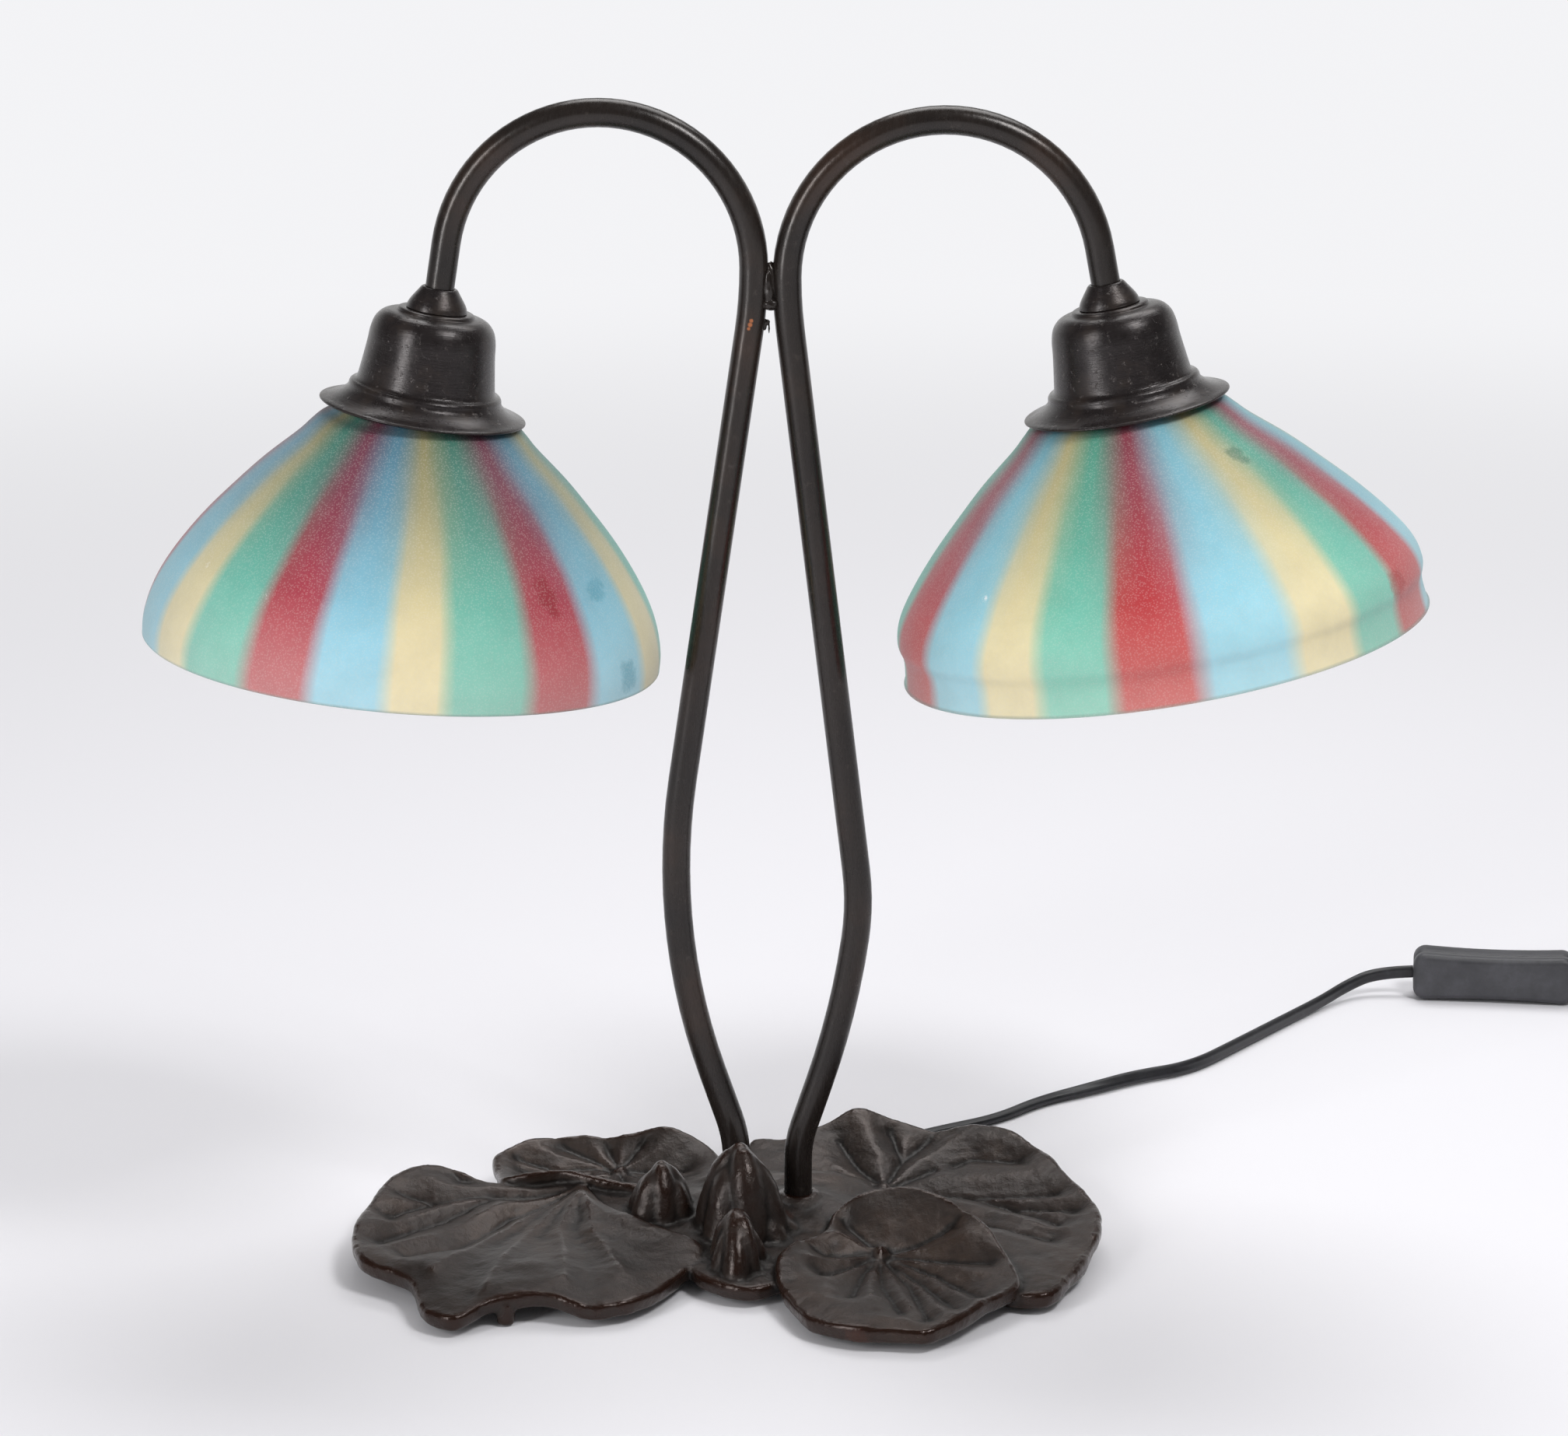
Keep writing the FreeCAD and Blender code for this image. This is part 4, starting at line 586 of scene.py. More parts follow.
casting = [padMesh(pad) for pad in pads.values()]
for bud in buds:
    casting += budMeshes(bud)
casting.append(moundMesh())
half = (castSet["hubLength"] / 2, castSet["hubWidth"] / 2)
front, back, wall = castSet["hubShift"] - half[1], castSet["hubShift"] + half[1], castSet["wall"]
casting.append(blockMesh((-half[0], front, castSet["hubLow"]), (half[0], back, castSet["blockTop"])))
tubes = [(side * castSet["tubeSpacing"] / 2, 0, 0) for side in (-1, 1)]
casting += [turnedMesh(castSet["boss"], place=tube) for tube in tubes]
for x, y, top in pegs:
    casting.append(turnedMesh([*castSet["pegFoot"], (castSet["pegRadius"], top)], 32, (x, y, 0)))
base = joinMeshes("lily_pad_base", casting, patina)
melt(base, castSet["voxel"] / 1000, castSet["smoothing"])
handwork = bpy.data.textures.new("handwork", "CLOUDS")
handwork.noise_scale = castSet["handworkScale"]
uneven = base.modifiers.new("uneven", "DISPLACE")
uneven.texture = handwork
uneven.strength = castSet["handwork"]
uneven.texture_coords = "LOCAL"
applyModifiers(base)
print("base cast:", len(base.data.vertices), "points")

channel, below = castSet["channel"], castSet["below"]  # below: where the cuts start, under the floor
cuts = [blockMesh((wall - half[0], front + wall, below),
                  (half[0] - wall, back - wall, castSet["hubTop"] - castSet["roof"])),
        blockMesh((channel["left"], back - wall - 1, below),
                  (channel["right"], channel["end"], channel["top"]))]
cuts += [turnedMesh([(castSet["tubeGap"], below), (castSet["tubeGap"], 60)], 64, tube) for tube in tubes]
hollows = [joinMeshes("hollow", [cut], patina) for cut in cuts]
for hollow in hollows:
    carve = base.modifiers.new("carve", "BOOLEAN")
    carve.operation = "DIFFERENCE"
    carve.solver = "EXACT"
    carve.object = hollow
applyModifiers(base)
for hollow in hollows:
    bpy.data.objects.remove(hollow)
storeRelief(base.data, "proud", castSet["reliefRounds"], castSet["fullRelief"])
standIn(base, "cast_metal", "base_casting")
print("base carved:", len(base.data.vertices), "points")

# Arms: bent tube with the weld that joins them.
# Steel tube under the same brown-black patina: smoother than the casting, with faint lengthwise drag
# marks, small scuffs that shine and a browner tint where the coat is thin.
tubeCoat, tree, place = startMaterial("bentTubeBrownPatina", Metallic=0.3, IOR=1.5)
stretched = addNode(tree, "Mapping", {"Vector": place, "Scale": (1.0, 1.0, 0.12)})
clouds = noiseNode(tree, place, 22.0, 5.0, 0.6)
drag = noiseNode(tree, stretched, 700.0, 3.0, 0.6)
scuffs = noiseNode(tree, place, 160.0, 6.0, 0.75)
tone = colourRamp(tree, clouds, [(0.32, "#201c1b"), (0.52, "#2a2421"), (0.72, "#3b2d26")])
scuffed = remap(tree, scuffs, 0.6, 0.74)
marked = mixed(tree, scuffed, tone, "#48413d")
scratch = [(-5.2, -4.8, 336.0, 0.7), (-5.6, -4.8, 334.6, 0.8), (-6.1, -4.8, 333.2, 0.6)]
bared = mixed(tree, spotsAt(tree, place, seenSpots(scratch), scuffs), marked, "#a5643f")
polish = remap(tree, drag, 0.3, 0.7, 0.21, 0.33)
polish = mixed(tree, scuffed, polish, (0.24, 0.24, 0.24, 1))
finishMaterial(tree, bared, polish, maths(tree, "ADD", drag, scuffs), 0.1, 0.0003)


def dress(nodeNames, material):
    for name in nodeNames:
        nodes[name].data.materials.clear()
        nodes[name].data.materials.append(material)


dress(["arm_left", "arm_right"], tubeCoat)


def blobMesh(blobs, name):  # lumps given as centre from the hub and radii, with an uneven skin
    parts = []
    for (cx, cy, cz), (rx, ry, rz) in blobs:
        ball = bmesh.new()
        bmesh.ops.create_icosphere(ball, subdivisions=4, radius=1.0)
        points = []
        for vertex in ball.verts:
            way = vertex.co.normalized()
            grow = 1 + 0.12 * noise.noise(way * 2.2 + Vector((cx, cy, cz)))
            points.append((cx + way.x * rx * grow, cy + way.y * ry * grow, cz + way.z * rz * grow))
        parts.append((numpy.array(points), [tuple(v.index for v in face.verts) for face in ball.faces]))
        ball.free()
    return joinMeshes(name, parts, tubeCoat)


weldSet = {
    "x": 1.2, "z": 347.4, "voxel": 0.00022, "smoothing": 4,
    "blobs": [((0, 0, 0), (3.4, 3.6, 8.2)), ((-0.6, -2.2, -1.0), (2.0, 2.2, 6.8)),
              ((0.2, -2.0, -6.2), (3.2, 2.6, 2.2)),
              ((-2.4, 0.4, 9.5), (1.3, 1.6, 4.6)), ((-0.9, -0.6, -12.6), (0.9, 0.8, 1.0)),
              ((-1.9, -0.5, -13.4), (0.9, 0.8, 2.2)), ((-0.35, -0.7, -14.4), (0.35, 0.35, 2.2))],
}
weld = blobMesh([((weldSet["x"] + x, y, weldSet["z"] + z), radii) for (x, y, z), radii in weldSet["blobs"]],
                "arm_weld_bead")
melt(weld, weldSet["voxel"], weldSet["smoothing"])
applyModifiers(weld)
standIn(weld, "weld_bead", "arm_weld")
print("arms dressed")

# Holders: spun bells with their lock nuts, on the two tubes' ends.
ends = {"left": {"seat": (-113.6, 0, 337.462), "turn": 9.0},
        "right": {"seat": (118.123, 0, 339.167), "turn": -10.8}}
for end in ends.values():
    end["frame"] = Matrix.Translation(fromHub(*end["seat"])) @ Matrix.Rotation(math.radians(end["turn"]), 4,
                                                                               "Y")


def curveThrough(points, steps):  # smooth open outline through (radius, height) points
    points = numpy.array([points[0]] + list(points) + [points[-1]], float)
    out = []
    for i in range(1, len(points) - 2):
        a, b, c, d = points[i - 1:i + 3]
        for step in range(steps):
            t = step / steps
            out.append(tuple(0.5 * (2 * b + (c - a) * t + (2 * a - 5 * b + 4 * c - d) * t ** 2
                                    + (3 * b - a - 3 * c + d) * t ** 3)))
    out.append(tuple(points[-2]))
    return out


def turnedObject(name, outline, frameMatrix, material, segments=160):
    vertices = [(radius * c / 1000, radius * d / 1000, height / 1000)
                for radius, height in outline for c, d in circle(segments)]
    faces = [tuple(reversed(face)) for face in ringFaces(len(outline), segments, "loop")]
    thing = makeObject(name, vertices, faces, material)
    thing.matrix_world = frameMatrix
    return thing


# Spun brass, darkened: fine rings from the spinning tool, satin with browner clouds and small bright scratches.
spunBrass, tree, place = startMaterial("spunBrassDarkPatina", Metallic=0.4, IOR=1.5)
squeezed = addNode(tree, "Mapping", {"Vector": place, "Scale": (0.06, 0.06, 1.0)})
rings = noiseNode(tree, squeezed, 2600.0, 3.0, 0.65)
clouds = noiseNode(tree, place, 45.0, 6.0, 0.7)
scratchCells = noiseNode(tree, place, 420.0, 8.0, 0.8)
tone = colourRamp(tree, clouds, [(0.3, "#231f1f"), (0.5, "#2c2727"), (0.7, "#3a312c")])
scratched = remap(tree, scratchCells, 0.585, 0.68)
polish = remap(tree, clouds, 0.3, 0.7, 0.2, 0.36)
polish = mixed(tree, scratched, polish, (0.16, 0.16, 0.16, 1))
height = maths(tree, "ADD", rings, maths(tree, "MULTIPLY", scratched, -0.5))
finishMaterial(tree, mixed(tree, scratched, tone, "#5a5350"), polish, height, 0.42, 0.00025)

bellSet = {
    "outer": [(13.0, 0.0), (13.6, -0.35), (13.9, -1.1), (14.8, -1.35), (17.2, -1.75), (19.4, -3.0),
              (21.3, -5.6),
              (22.3, -9.5), (22.7, -14.0), (23.3, -19.0), (24.0, -24.2), (24.5, -27.4), (25.2, -28.6),
              (26.5, -29.2),
              (27.1, -30.1), (27.3, -31.3), (28.0, -32.6), (30.2, -34.4), (33.2, -35.9), (35.6, -36.6),
              (36.6, -37.0), (36.75, -37.5), (36.3, -37.9)],
    "wall": 1.0, "hole": 5.2, "slimmer": 0.975, "shorter": 0.935, "raised": 1.4,
    "nut": [(5.1, 7.9), (5.8, 8.0), (6.4, 7.6), (7.1, 6.6), (8.3, 4.9), (9.5, 3.1), (10.2, 1.7), (10.4, 0.7),
            (10.0, 0.05), (5.1, 0.05)],
}
for side, end in ends.items():
    outer = curveThrough([(radius * bellSet["slimmer"], height * bellSet["shorter"]) for radius,
                          height in bellSet["outer"]], 5)
    inner = [(radius - bellSet["wall"] if radius > 15 else radius,
              height - (bellSet["wall"] if radius < 27 else 0.35))
             for radius, height in reversed(outer) if radius > 14]
    outline = [(bellSet["hole"], 0.0)] + outer + inner + [(bellSet["hole"], -2.3)]
    perch = end["frame"] @ Matrix.Translation((0, 0, bellSet["raised"] / 1000))
    bell = turnedObject("bell_holder_" + side, outline, perch, spunBrass)
    nut = turnedObject("dome_nut_" + side, curveThrough(bellSet["nut"], 4), perch, spunBrass, 96)
    standIn(bell, "spun_metal", "shade_holder_" + side)
    standIn(nut, "spun_metal", "neck_nut_" + side)
print("holders spun")

# Glass shades: blown, cased and striped, frosted outside.
glassSet = {
    "crown": [(15.2, 7.6), (17.7, 7.6), (20.2, 7.6), (22.6, 7.0), (25.4, 5.0), (27.6, 2.3), (30.6, -0.4),
              (34.4, -2.4), (37.7, -5.6)],
    "neck": 34.0, "height": 83.4, "wall": 3.0, "drop": -6.1, "segments": 240,
    # Per shade, the rim colours are the glass's stripes; the top colours are the same stripes darkened by
    # painted shade.
    "left": {"form": [(0.125, 0.145), (0.25, 0.345), (0.375, 0.518), (0.5, 0.678), (0.625, 0.812),
                      (0.735, 0.908),
                      (0.83, 0.966), (0.925, 0.998), (1.0, 1.0)],
             "rimColours": {"yellow": "#e0d3a8", "green": "#74c0ae", "red": "#b5404d", "blue": "#93cbdc"},
             "shadedTopColours": {"yellow": "#8b8660", "green": "#417566", "red": "#6d3a4b", "blue": "#557f92"},
             "radius": 90.4, "seat": 29.2, "ownTilt": -3.5, "aside": -1.0,
             "edges": [-63, -49.7, -31.6, -15.7, 1, 13.6, 32.9, 50.3, 70.5, 85, 106, 125, 145.5, 160.5, 181,
                       200,
                       220.5, 236, 257, 276, 297]},
    "right": {"form": [(0.125, 0.145), (0.25, 0.352), (0.375, 0.532), (0.5, 0.702), (0.625, 0.85),
                       (0.735, 0.955),
                       (0.82, 0.99), (0.88, 0.972), (0.93, 0.972), (1.0, 0.985)],
              "rimColours": {"yellow": "#e5d9ae", "green": "#7cc8b4", "red": "#c53a3c", "blue": "#9dd4e2"},
              "shadedTopColours": {"yellow": "#a9a177", "green": "#549581", "red": "#863d4b", "blue": "#74a8b6"},
              "radius": 93.0, "seat": 28.6, "ownTilt": -0.6, "aside": 0.0,
              "edges": [-45.6, -31.4, -14.1, 4.1, 25.2, 41.1, 57.0, 74.6, 95, 110, 130, 148, 168, 183, 203,
                        221,
                        241, 256, 275, 295.6, 314.4]},
    "smudges": {"left": [("#861c24",
                          [(47.0, -57.0, -37, 3.4), (49.5, -57.3, -42, 4.4), (51.0, -57.3, -47.5, 4.4),
                           (53.0, -57.5, -53, 3.4)]),
                         ("#4a93a8", [(67.4, -38.9, -47.6, 4.4), (69.5, -34.5, -44.5, 3.2),
                                      (79.5, -40, -76, 5.5)])],
                "right": [("#1f5b46", [(31.9, -36.1, -15.2, 3.4), (34.0, -36.5, -18.5, 2.6)]),
                          ("#a32a26", [(78, -47.8, -66.5, 5.4)]),
                          ("#4a3b34", [(9, -85.9, -56.4, 0.5), (21.5, -89.4, -76, 0.5),
                                       (-30, -70, -40, 0.4)])]},
    "scuffs": {"left": [(-66, -43.7, -49.4, 2.2), (-42.6, -69.5, -52.5, 1.8), (-21.6, -77.9, -51.6, 2.2),
                        (50.5, -56.3, -43.5, 1.0)],
               "right": [(-60, -52, -46, 1.4), (52, -70, -58, 1.2)]},
}


def stripeStops(colours, soft):  # one set of four stripes, each edge blurred by soft on both sides
    stops = []
    for index, name in enumerate(("yellow", "green", "red", "blue")):
        stops += [(index / 4 + soft, colours[name]), ((index + 1) / 4 - soft, colours[name])]
    first, last = linear(colours["yellow"]), linear(colours["blue"])
    return stops, [(a + b) / 2 for a, b in zip(first, last)]


def stripedGlass(side):
    # Cased opal glass with powdered colour stripes, acid frosted: satin, crisper towards the rim, specked with
    # fine grains.
    # Painted shade darkens it grey-blue where it curves away and darkens the stripes towards the top; painted
    # light pales it towards the rim.
    glass, tree, place = startMaterial("acidFrostedCasedGlass_" + side, Metallic=0.0, IOR=1.5,
                                       Sheen_Weight=0.04,
                                       Sheen_Roughness=0.4, Specular_IOR_Level=0.3, Subsurface_Weight=0.6,
                                       Subsurface_Scale=0.004, Subsurface_Radius=(1.0, 1.0, 1.0))
    wobble = noiseNode(tree, place, 16.0, 2.0)
    apart = addNode(tree, "SeparateXYZ", {"Vector": place})
    angle = maths(tree, "ARCTAN2", apart.outputs["X"], maths(tree, "MULTIPLY", apart.outputs["Y"], -1.0))
    edges = glassSet[side]["edges"]
    turned = maths(tree, "MULTIPLY_ADD", angle, 1 / (2 * math.pi), -edges[0] / 360 + 1)
    swayed = maths(tree, "MULTIPLY_ADD", wobble, 0.012, turned)
    around = maths(tree, "FRACT", maths(tree, "SUBTRACT", swayed, 0.006))
    spacing = addNode(tree, "FloatCurve", {"Value": around})
    points = spacing.mapping.curves[0].points
    for index in range(1, 20):
        points.new((edges[index] - edges[0]) / 360, index / 20)
    for point in points:
        point.handle_type = "VECTOR"
    spacing.mapping.update()
    phase = maths(tree, "FRACT", maths(tree, "MULTIPLY", spacing, 5.0))
    ramps = []
    for colours, soft in ((glassSet[side]["rimColours"], 0.032), (glassSet[side]["shadedTopColours"], 0.105)):
        stops, wrap = stripeStops(colours, soft)
        ramps.append(colourRamp(tree, phase, [(0.0, "#808080"), *stops, (1.0, "#808080")]))
        for index in (0, -1):
            ramps[-1].color_ramp.elements[index].color = wrap
    # painted shade: towards the top the stripes turn to the darker top colours, and blur as well
    level = remap(tree, apart.outputs["Z"], -0.072, -0.004, interpolation_type="SMOOTHSTEP")
    striped = mixed(tree, level, ramps[0], ramps[1])
    # painted light: paler towards the rim
    lit = remap(tree, apart.outputs["Z"], -0.05, -0.084, 0.0, 0.22)
    pale = mixed(tree, lit, striped, "#f3efe6")
    ragged = noiseNode(tree, place, 240.0, 5.0, 0.7)
    for colour, spots in glassSet["smudges"][side]:
        pale = mixed(tree, maths(tree, "MULTIPLY", spotsAt(tree, place, spots, ragged), 0.5), pale, colour)
    thready = remap(tree, ragged, 0.52, 0.6, 0.0, 0.8)
    scuffed = maths(tree, "MULTIPLY", spotsAt(tree, place, glassSet["scuffs"][side], ragged), thready)
    pale = mixed(tree, scuffed, pale, "#f0eeee")
    rimLine = remap(tree, apart.outputs["Z"], -0.0826, -0.0836, 0.0, 0.6)
    pale = mixed(tree, rimLine, pale, "#83928a")
    # painted shade: darker grey-blue towards the outline, where the surface turns edge-on
    edgeShadeFacing = addNode(tree, "LayerWeight", {"Blend": 0.45}).outputs["Facing"]
    paintedEdgeShade = remap(tree, edgeShadeFacing, 0.25, 0.85, 0.0, 0.42)
    pale = mixed(tree, paintedEdgeShade, pale, "#62767c")
    grains = addNode(tree, "TexVoronoi", {"Vector": place, "Scale": 1400.0})
    specks = remap(tree, grains, 0.5, 0.1, 0.0, 0.2)
    specked = mixed(tree, specks, pale, "#ddd8d2")
    cloudy = noiseNode(tree, place, 60.0, 6.0, 0.75)
    shaded = colourRamp(tree, cloudy, [(0.3, "#dcdcdc"), (0.6, "#ffffff")])
    mottled = mixed(tree, 0.3, specked, shaded, blend_type="MULTIPLY")
    frost = noiseNode(tree, place, 1500.0, 2.0)
    finishMaterial(tree, mottled, remap(tree, cloudy, 0.0, 1.0, 0.46, 0.66), frost, 0.1, 0.0002)
    return glass


# Opal lining of the glass: fire-polished, glossy, milky white with faint clouds.
lining, tree, place = startMaterial("firePolishedOpalLining", Metallic=0.0, IOR=1.5, Coat_Weight=0.4,
                                    Coat_Roughness=0.08)
milk = noiseNode(tree, place, 30.0, 4.0)
finishMaterial(tree, colourRamp(tree, milk, [(0.35, "#e4e2dc"), (0.65, "#f2f0ea")]),
               remap(tree, milk, 0.0, 1.0, 0.14, 0.26))

for side, end in ends.items():
    own = glassSet[side]
    edge, neck, tall, wall = own["radius"], glassSet["neck"], glassSet["height"], glassSet["wall"]
    outer = curveThrough(glassSet["crown"]
                         + [(neck + (edge - neck) * spread, -tall * share) for share, spread in own["form"]],
                         8)
    inner = []
    for index, (radius, height) in enumerate(outer):
        before, after = outer[max(index - 1, 0)], outer[min(index + 1, len(outer) - 1)]
        run = math.hypot(after[0] - before[0], after[1] - before[1])
        inner.append((radius + wall * (after[1] - before[1]) / run,
                      height - wall * (after[0] - before[0]) / run))
    rim = [(edge - 0.3, -tall - 0.35), (edge - 1.5, -tall - 0.6), (edge - 2.7, -tall - 0.35)]
    tilt = math.radians(own["ownTilt"] if side == "left" else -own["ownTilt"])
    stand = (end["frame"] @ Matrix.Translation((own["aside"] / 1000, 0, -own["seat"] / 1000))
             @ Matrix.Rotation(tilt, 4, "Y") @ Matrix.Translation((0, 0, glassSet["drop"] / 1000)))
    segments = glassSet["segments"]
    shade = turnedObject("glass_shade_striped_" + side, outer + rim + inner[::-1], stand, stripedGlass(side),
                         segments)
    shade.data.materials.append(lining)
    inside = [1 if (len(outer) + 1) * segments <= min(face.vertices) else 0 for face in shade.data.polygons]
    shade.data.polygons.foreach_set("material_index", inside)
    standIn(shade, "striped_glass", "glass_shade_" + side)
print("glass blown")


# Small parts kept from the CAD, each with its own surface.
def surface(name, tones, gloss, scale, bump,
            **values):  # tones dark to light; gloss as lowest and highest roughness
    material, tree, place = startMaterial(name, **values)
    clouds = noiseNode(tree, place, scale, 7.0, 0.68)
    fine = noiseNode(tree, place, scale * 9, 4.0, 0.7)
    stops = [(0.32 + 0.36 * index / (len(tones) - 1), tone) for index, tone in enumerate(tones)]
    colour = colourRamp(tree, clouds, stops)
    spots = remap(tree, fine, 0.58, 0.72, 0.0, 0.35)
    dusty = mixed(tree, spots, colour, linear(tones[-1]))
    finishMaterial(tree, dusty, remap(tree, clouds, 0.3, 0.7, *gloss), fine, bump, 0.0002)
    return material


def bothSides(stem):
    return [stem + "_left", stem + "_right"]


# Switch shells: charcoal ABS from a spark-eroded mould, satin, fine even grain, dusty in patches.
switchPlastic = surface("mouldedAbsCharcoal", ["#38383c", "#414145", "#4d4d52"], (0.42, 0.56), 70, 0.3)
# Tie: coated wire strip, satin black.
tieSkin = surface("coatedWireTie", ["#1a1a1c", "#242427", "#37373b"], (0.42, 0.58), 150, 0.2)
smallParts = [
    # moulded nylon of the lampholders: near black, waxy, with a soft shine on the shoulders
    (bothSides("lampholder"),
     surface("mouldedNylonBlack", ["#151516", "#1c1c1e", "#28282b"], (0.38, 0.52), 90, 0.12)),
    # turned brass rings: warm yellow, tarnished in clouds, brighter where the thread wears
    (bothSides("shade_ring"),
     surface("turnedBrassTarnished", ["#7a5c2c", "#a8843f", "#c9a960"], (0.22, 0.42), 120, 0.1,
             Metallic=1.0)),
    # pressed brass shell: thinner, brighter, less tarnish
    (bothSides("lamp_shell") + bothSides("lamp_contact") + ["switch_contacts"],
     surface("pressedBrassBright", ["#a8823f", "#c39f55", "#dcbf7a"], (0.16, 0.34), 150, 0.08, Metallic=1.0)),
    # blown bulb glass, frosted inside: milky, even, slightly warm
    (bothSides("bulb_glass"),
     surface("internallyFrostedBulbGlass", ["#e6e3dc", "#efece6", "#f6f4ef"], (0.1, 0.2), 60, 0.03,
                                      Transmission_Weight=0.35, IOR=1.5)),
    # rolled nickel-plated cap: silver grey with fine wear
    (bothSides("bulb_cap"), surface("nickelPlatedRolledBrass", ["#8d8a84", "#a9a6a0", "#c4c1bb"],
                                    (0.18, 0.36), 160, 0.08, Metallic=1.0)),
    # zinc-plated steel fixings: cool grey, spangled and slightly dull
    (["arm_foot_washers", "arm_foot_nuts", "terminal_screws", "cover_screws"],
     surface("zincPlatedSteel", ["#6f7276", "#8b8f93", "#aab0b4"], (0.25, 0.48), 140, 0.14, Metallic=1.0)),
    # moulded polyamide block: milky off-white, waxy
    (["terminal_block"], surface("mouldedPolyamideNatural", ["#c9c5b8", "#d8d5ca", "#e4e2d9"], (0.35, 0.5),
                                 110, 0.08)),
    # punched fibre sheet that closes the underside: matte dark grey with felted flecks
    (["cover_plate"], surface("punchedFibreSheet", ["#232221", "#2e2c2a", "#45413d"], (0.75, 0.92), 160,
                              0.5)),
    # moulded rubber bush: matte black, slightly bloomed
    (["cord_bush"], surface("mouldedRubberBlack", ["#141415", "#1c1c1e", "#2c2c2f"], (0.55, 0.72), 130, 0.2)),
    (["cord_tail"], sheath),
    # insulated wire in the tubes: brown skin, satin
    (bothSides("arm_wire"), surface("extrudedWireSkinBrown", ["#3a241a", "#4a2e20", "#5c3c2b"], (0.36, 0.5),
                                    200, 0.1)),
    # rocker: the same plastic from a polished mould, glossier
    (["switch_rocker"], surface("polishedMouldAbsBlack", ["#161618", "#1d1d20", "#2a2a2e"], (0.2, 0.34), 80,
                                0.06)),
    # plug: soft PVC moulded over the contacts, satin with light handling scuffs
    (["plug_body", "plug_relief"],
     surface("overmouldedPvcBlack", ["#18181b", "#202023", "#323236"], (0.36, 0.52), 75, 0.16)),
    # nickel-plated pins with wear at their tips
    (["plug_pins"], surface("nickelPlatedBrassPins", ["#9b978f", "#b8b4ac", "#d2cec6"], (0.14, 0.3), 170,
                            0.06, Metallic=1.0)),
    (["plug_pin_sleeves"], surface("mouldedPinSleeveBlack", ["#17171a", "#1f1f22", "#2f2f33"], (0.36, 0.48),
                                   150, 0.1)),
]
for names, material in smallParts:
    dress(names, material)
print("small parts dressed")

# In-line switch: two moulded shells, waisted, lying on the long side with the rocker to the back.
switchSet = {"middle": (304.75, 278.75, 10.5), "turn": -7.3, "halfLength": 33.5, "halfWidth": 10.5,
             "halfDepth": 8.3,
             "corner": 5.6, "waist": 1.3, "edge": 2.9, "seam": -2.9, "seamGap": 0.12, "wall": 1.7,
             "window": (10.7, 5.2), "windowCorner": 0.9}


def roundedLoop(halfLong, halfHigh, corner, waist, cornerSteps=14, sideSteps=22):
    def around(quarter, turns):  # a point on this corner's arc, turned by so many quarters
        across, up = [(1, 1), (-1, 1), (-1, -1), (1, -1)][quarter % 4]
        angle = math.radians(90 * turns)
        return (across * (halfLong - corner) + corner * math.cos(angle),
                up * (halfHigh - corner) + corner * math.sin(angle))

    points = []
    for quarter in range(4):
        points += [around(quarter, quarter + step / cornerSteps) for step in range(cornerSteps + 1)]
        (ax, az), (bx, bz) = points[-1], around(quarter + 1, quarter + 1)
        points += [(ax + (bx - ax) * k / sideSteps, az + (bz - az) * k / sideSteps)
                   for k in range(1, sideSteps)]
    return [(x, z * (1 - waist / halfHigh * (1 - min(1.0, (x / halfLong) ** 2)))) for x, z in points]


def shellMesh(name, steps, closing, material, place, turn):  # steps: (loop, depth) from inside to outside
    turning = Matrix.Rotation(math.radians(turn), 3, "Z")
    vertices = [fromHub(*(Vector(place) + turning @ Vector((x, depth, z)))) for loop, depth in steps for x,
                z in loop]
    thing = makeObject(name, vertices, ringFaces(len(steps), len(steps[0][0]), closing), material)
    sorting = bmesh.new()
    sorting.from_mesh(thing.data)
    bmesh.ops.recalc_face_normals(sorting, faces=sorting.faces)
    sorting.to_mesh(thing.data)
    sorting.free()
    return thing


def switchLoop(inset):
    corner = max(0.8, switchSet["corner"] - inset)
    return roundedLoop(switchSet["halfLength"] - inset, switchSet["halfWidth"] - inset, corner,
                       switchSet["waist"])


def roundedEdge(depth, inward):  # the outline drawn in along a quarter circle up to the face at this depth
    edge = switchSet["edge"]
    quarter = [math.radians(90 * k / 10) for k in range(11)]
    return [(switchLoop(edge * (1 - math.cos(a))), depth + inward * edge * (1 - math.sin(a)))
            for a in quarter]


seam, gap, wall, deep = [switchSet[name] for name in ("seam", "seamGap", "wall", "halfDepth")]
inner = [(switchLoop(inset), depth) for inset,
         depth in ((wall + 0.8, wall - deep), (wall, wall + 0.8 - deep), (wall, seam - gap))]
outer = [(switchLoop(0.3), seam - gap), (switchLoop(0), seam - 0.45), *roundedEdge(-deep, 1)]
backSteps = inner + outer + [(switchLoop(switchSet["edge"] + 0.7), -deep)]
(windowLong, windowHigh), windowCorner = switchSet["window"], switchSet["windowCorner"]
window = roundedLoop(windowLong, windowHigh, windowCorner, 0)
frontSteps = [(switchLoop(0.3), seam + gap), (switchLoop(0), seam + 0.45), *roundedEdge(deep, -1),
              (roundedLoop(windowLong + 0.5, windowHigh + 0.5, 1.3, 0), deep), (window, deep - 0.35),
              (window, deep - wall),
              (switchLoop(wall + 0.8), deep - wall), (switchLoop(wall), deep - wall - 0.8),
              (switchLoop(wall), seam + gap)]
backShell, frontShell = [shellMesh(name, steps, closing, switchPlastic, switchSet["middle"],
                                   switchSet["turn"])
                         for name, steps, closing in (("switch_back_shell", backSteps, "discs"),
                                                      ("switch_front_shell", frontSteps, "loop"))]
standIn(backShell, "switch_plastic", "switch_base")
standIn(frontShell, "switch_plastic", "switch_cover")

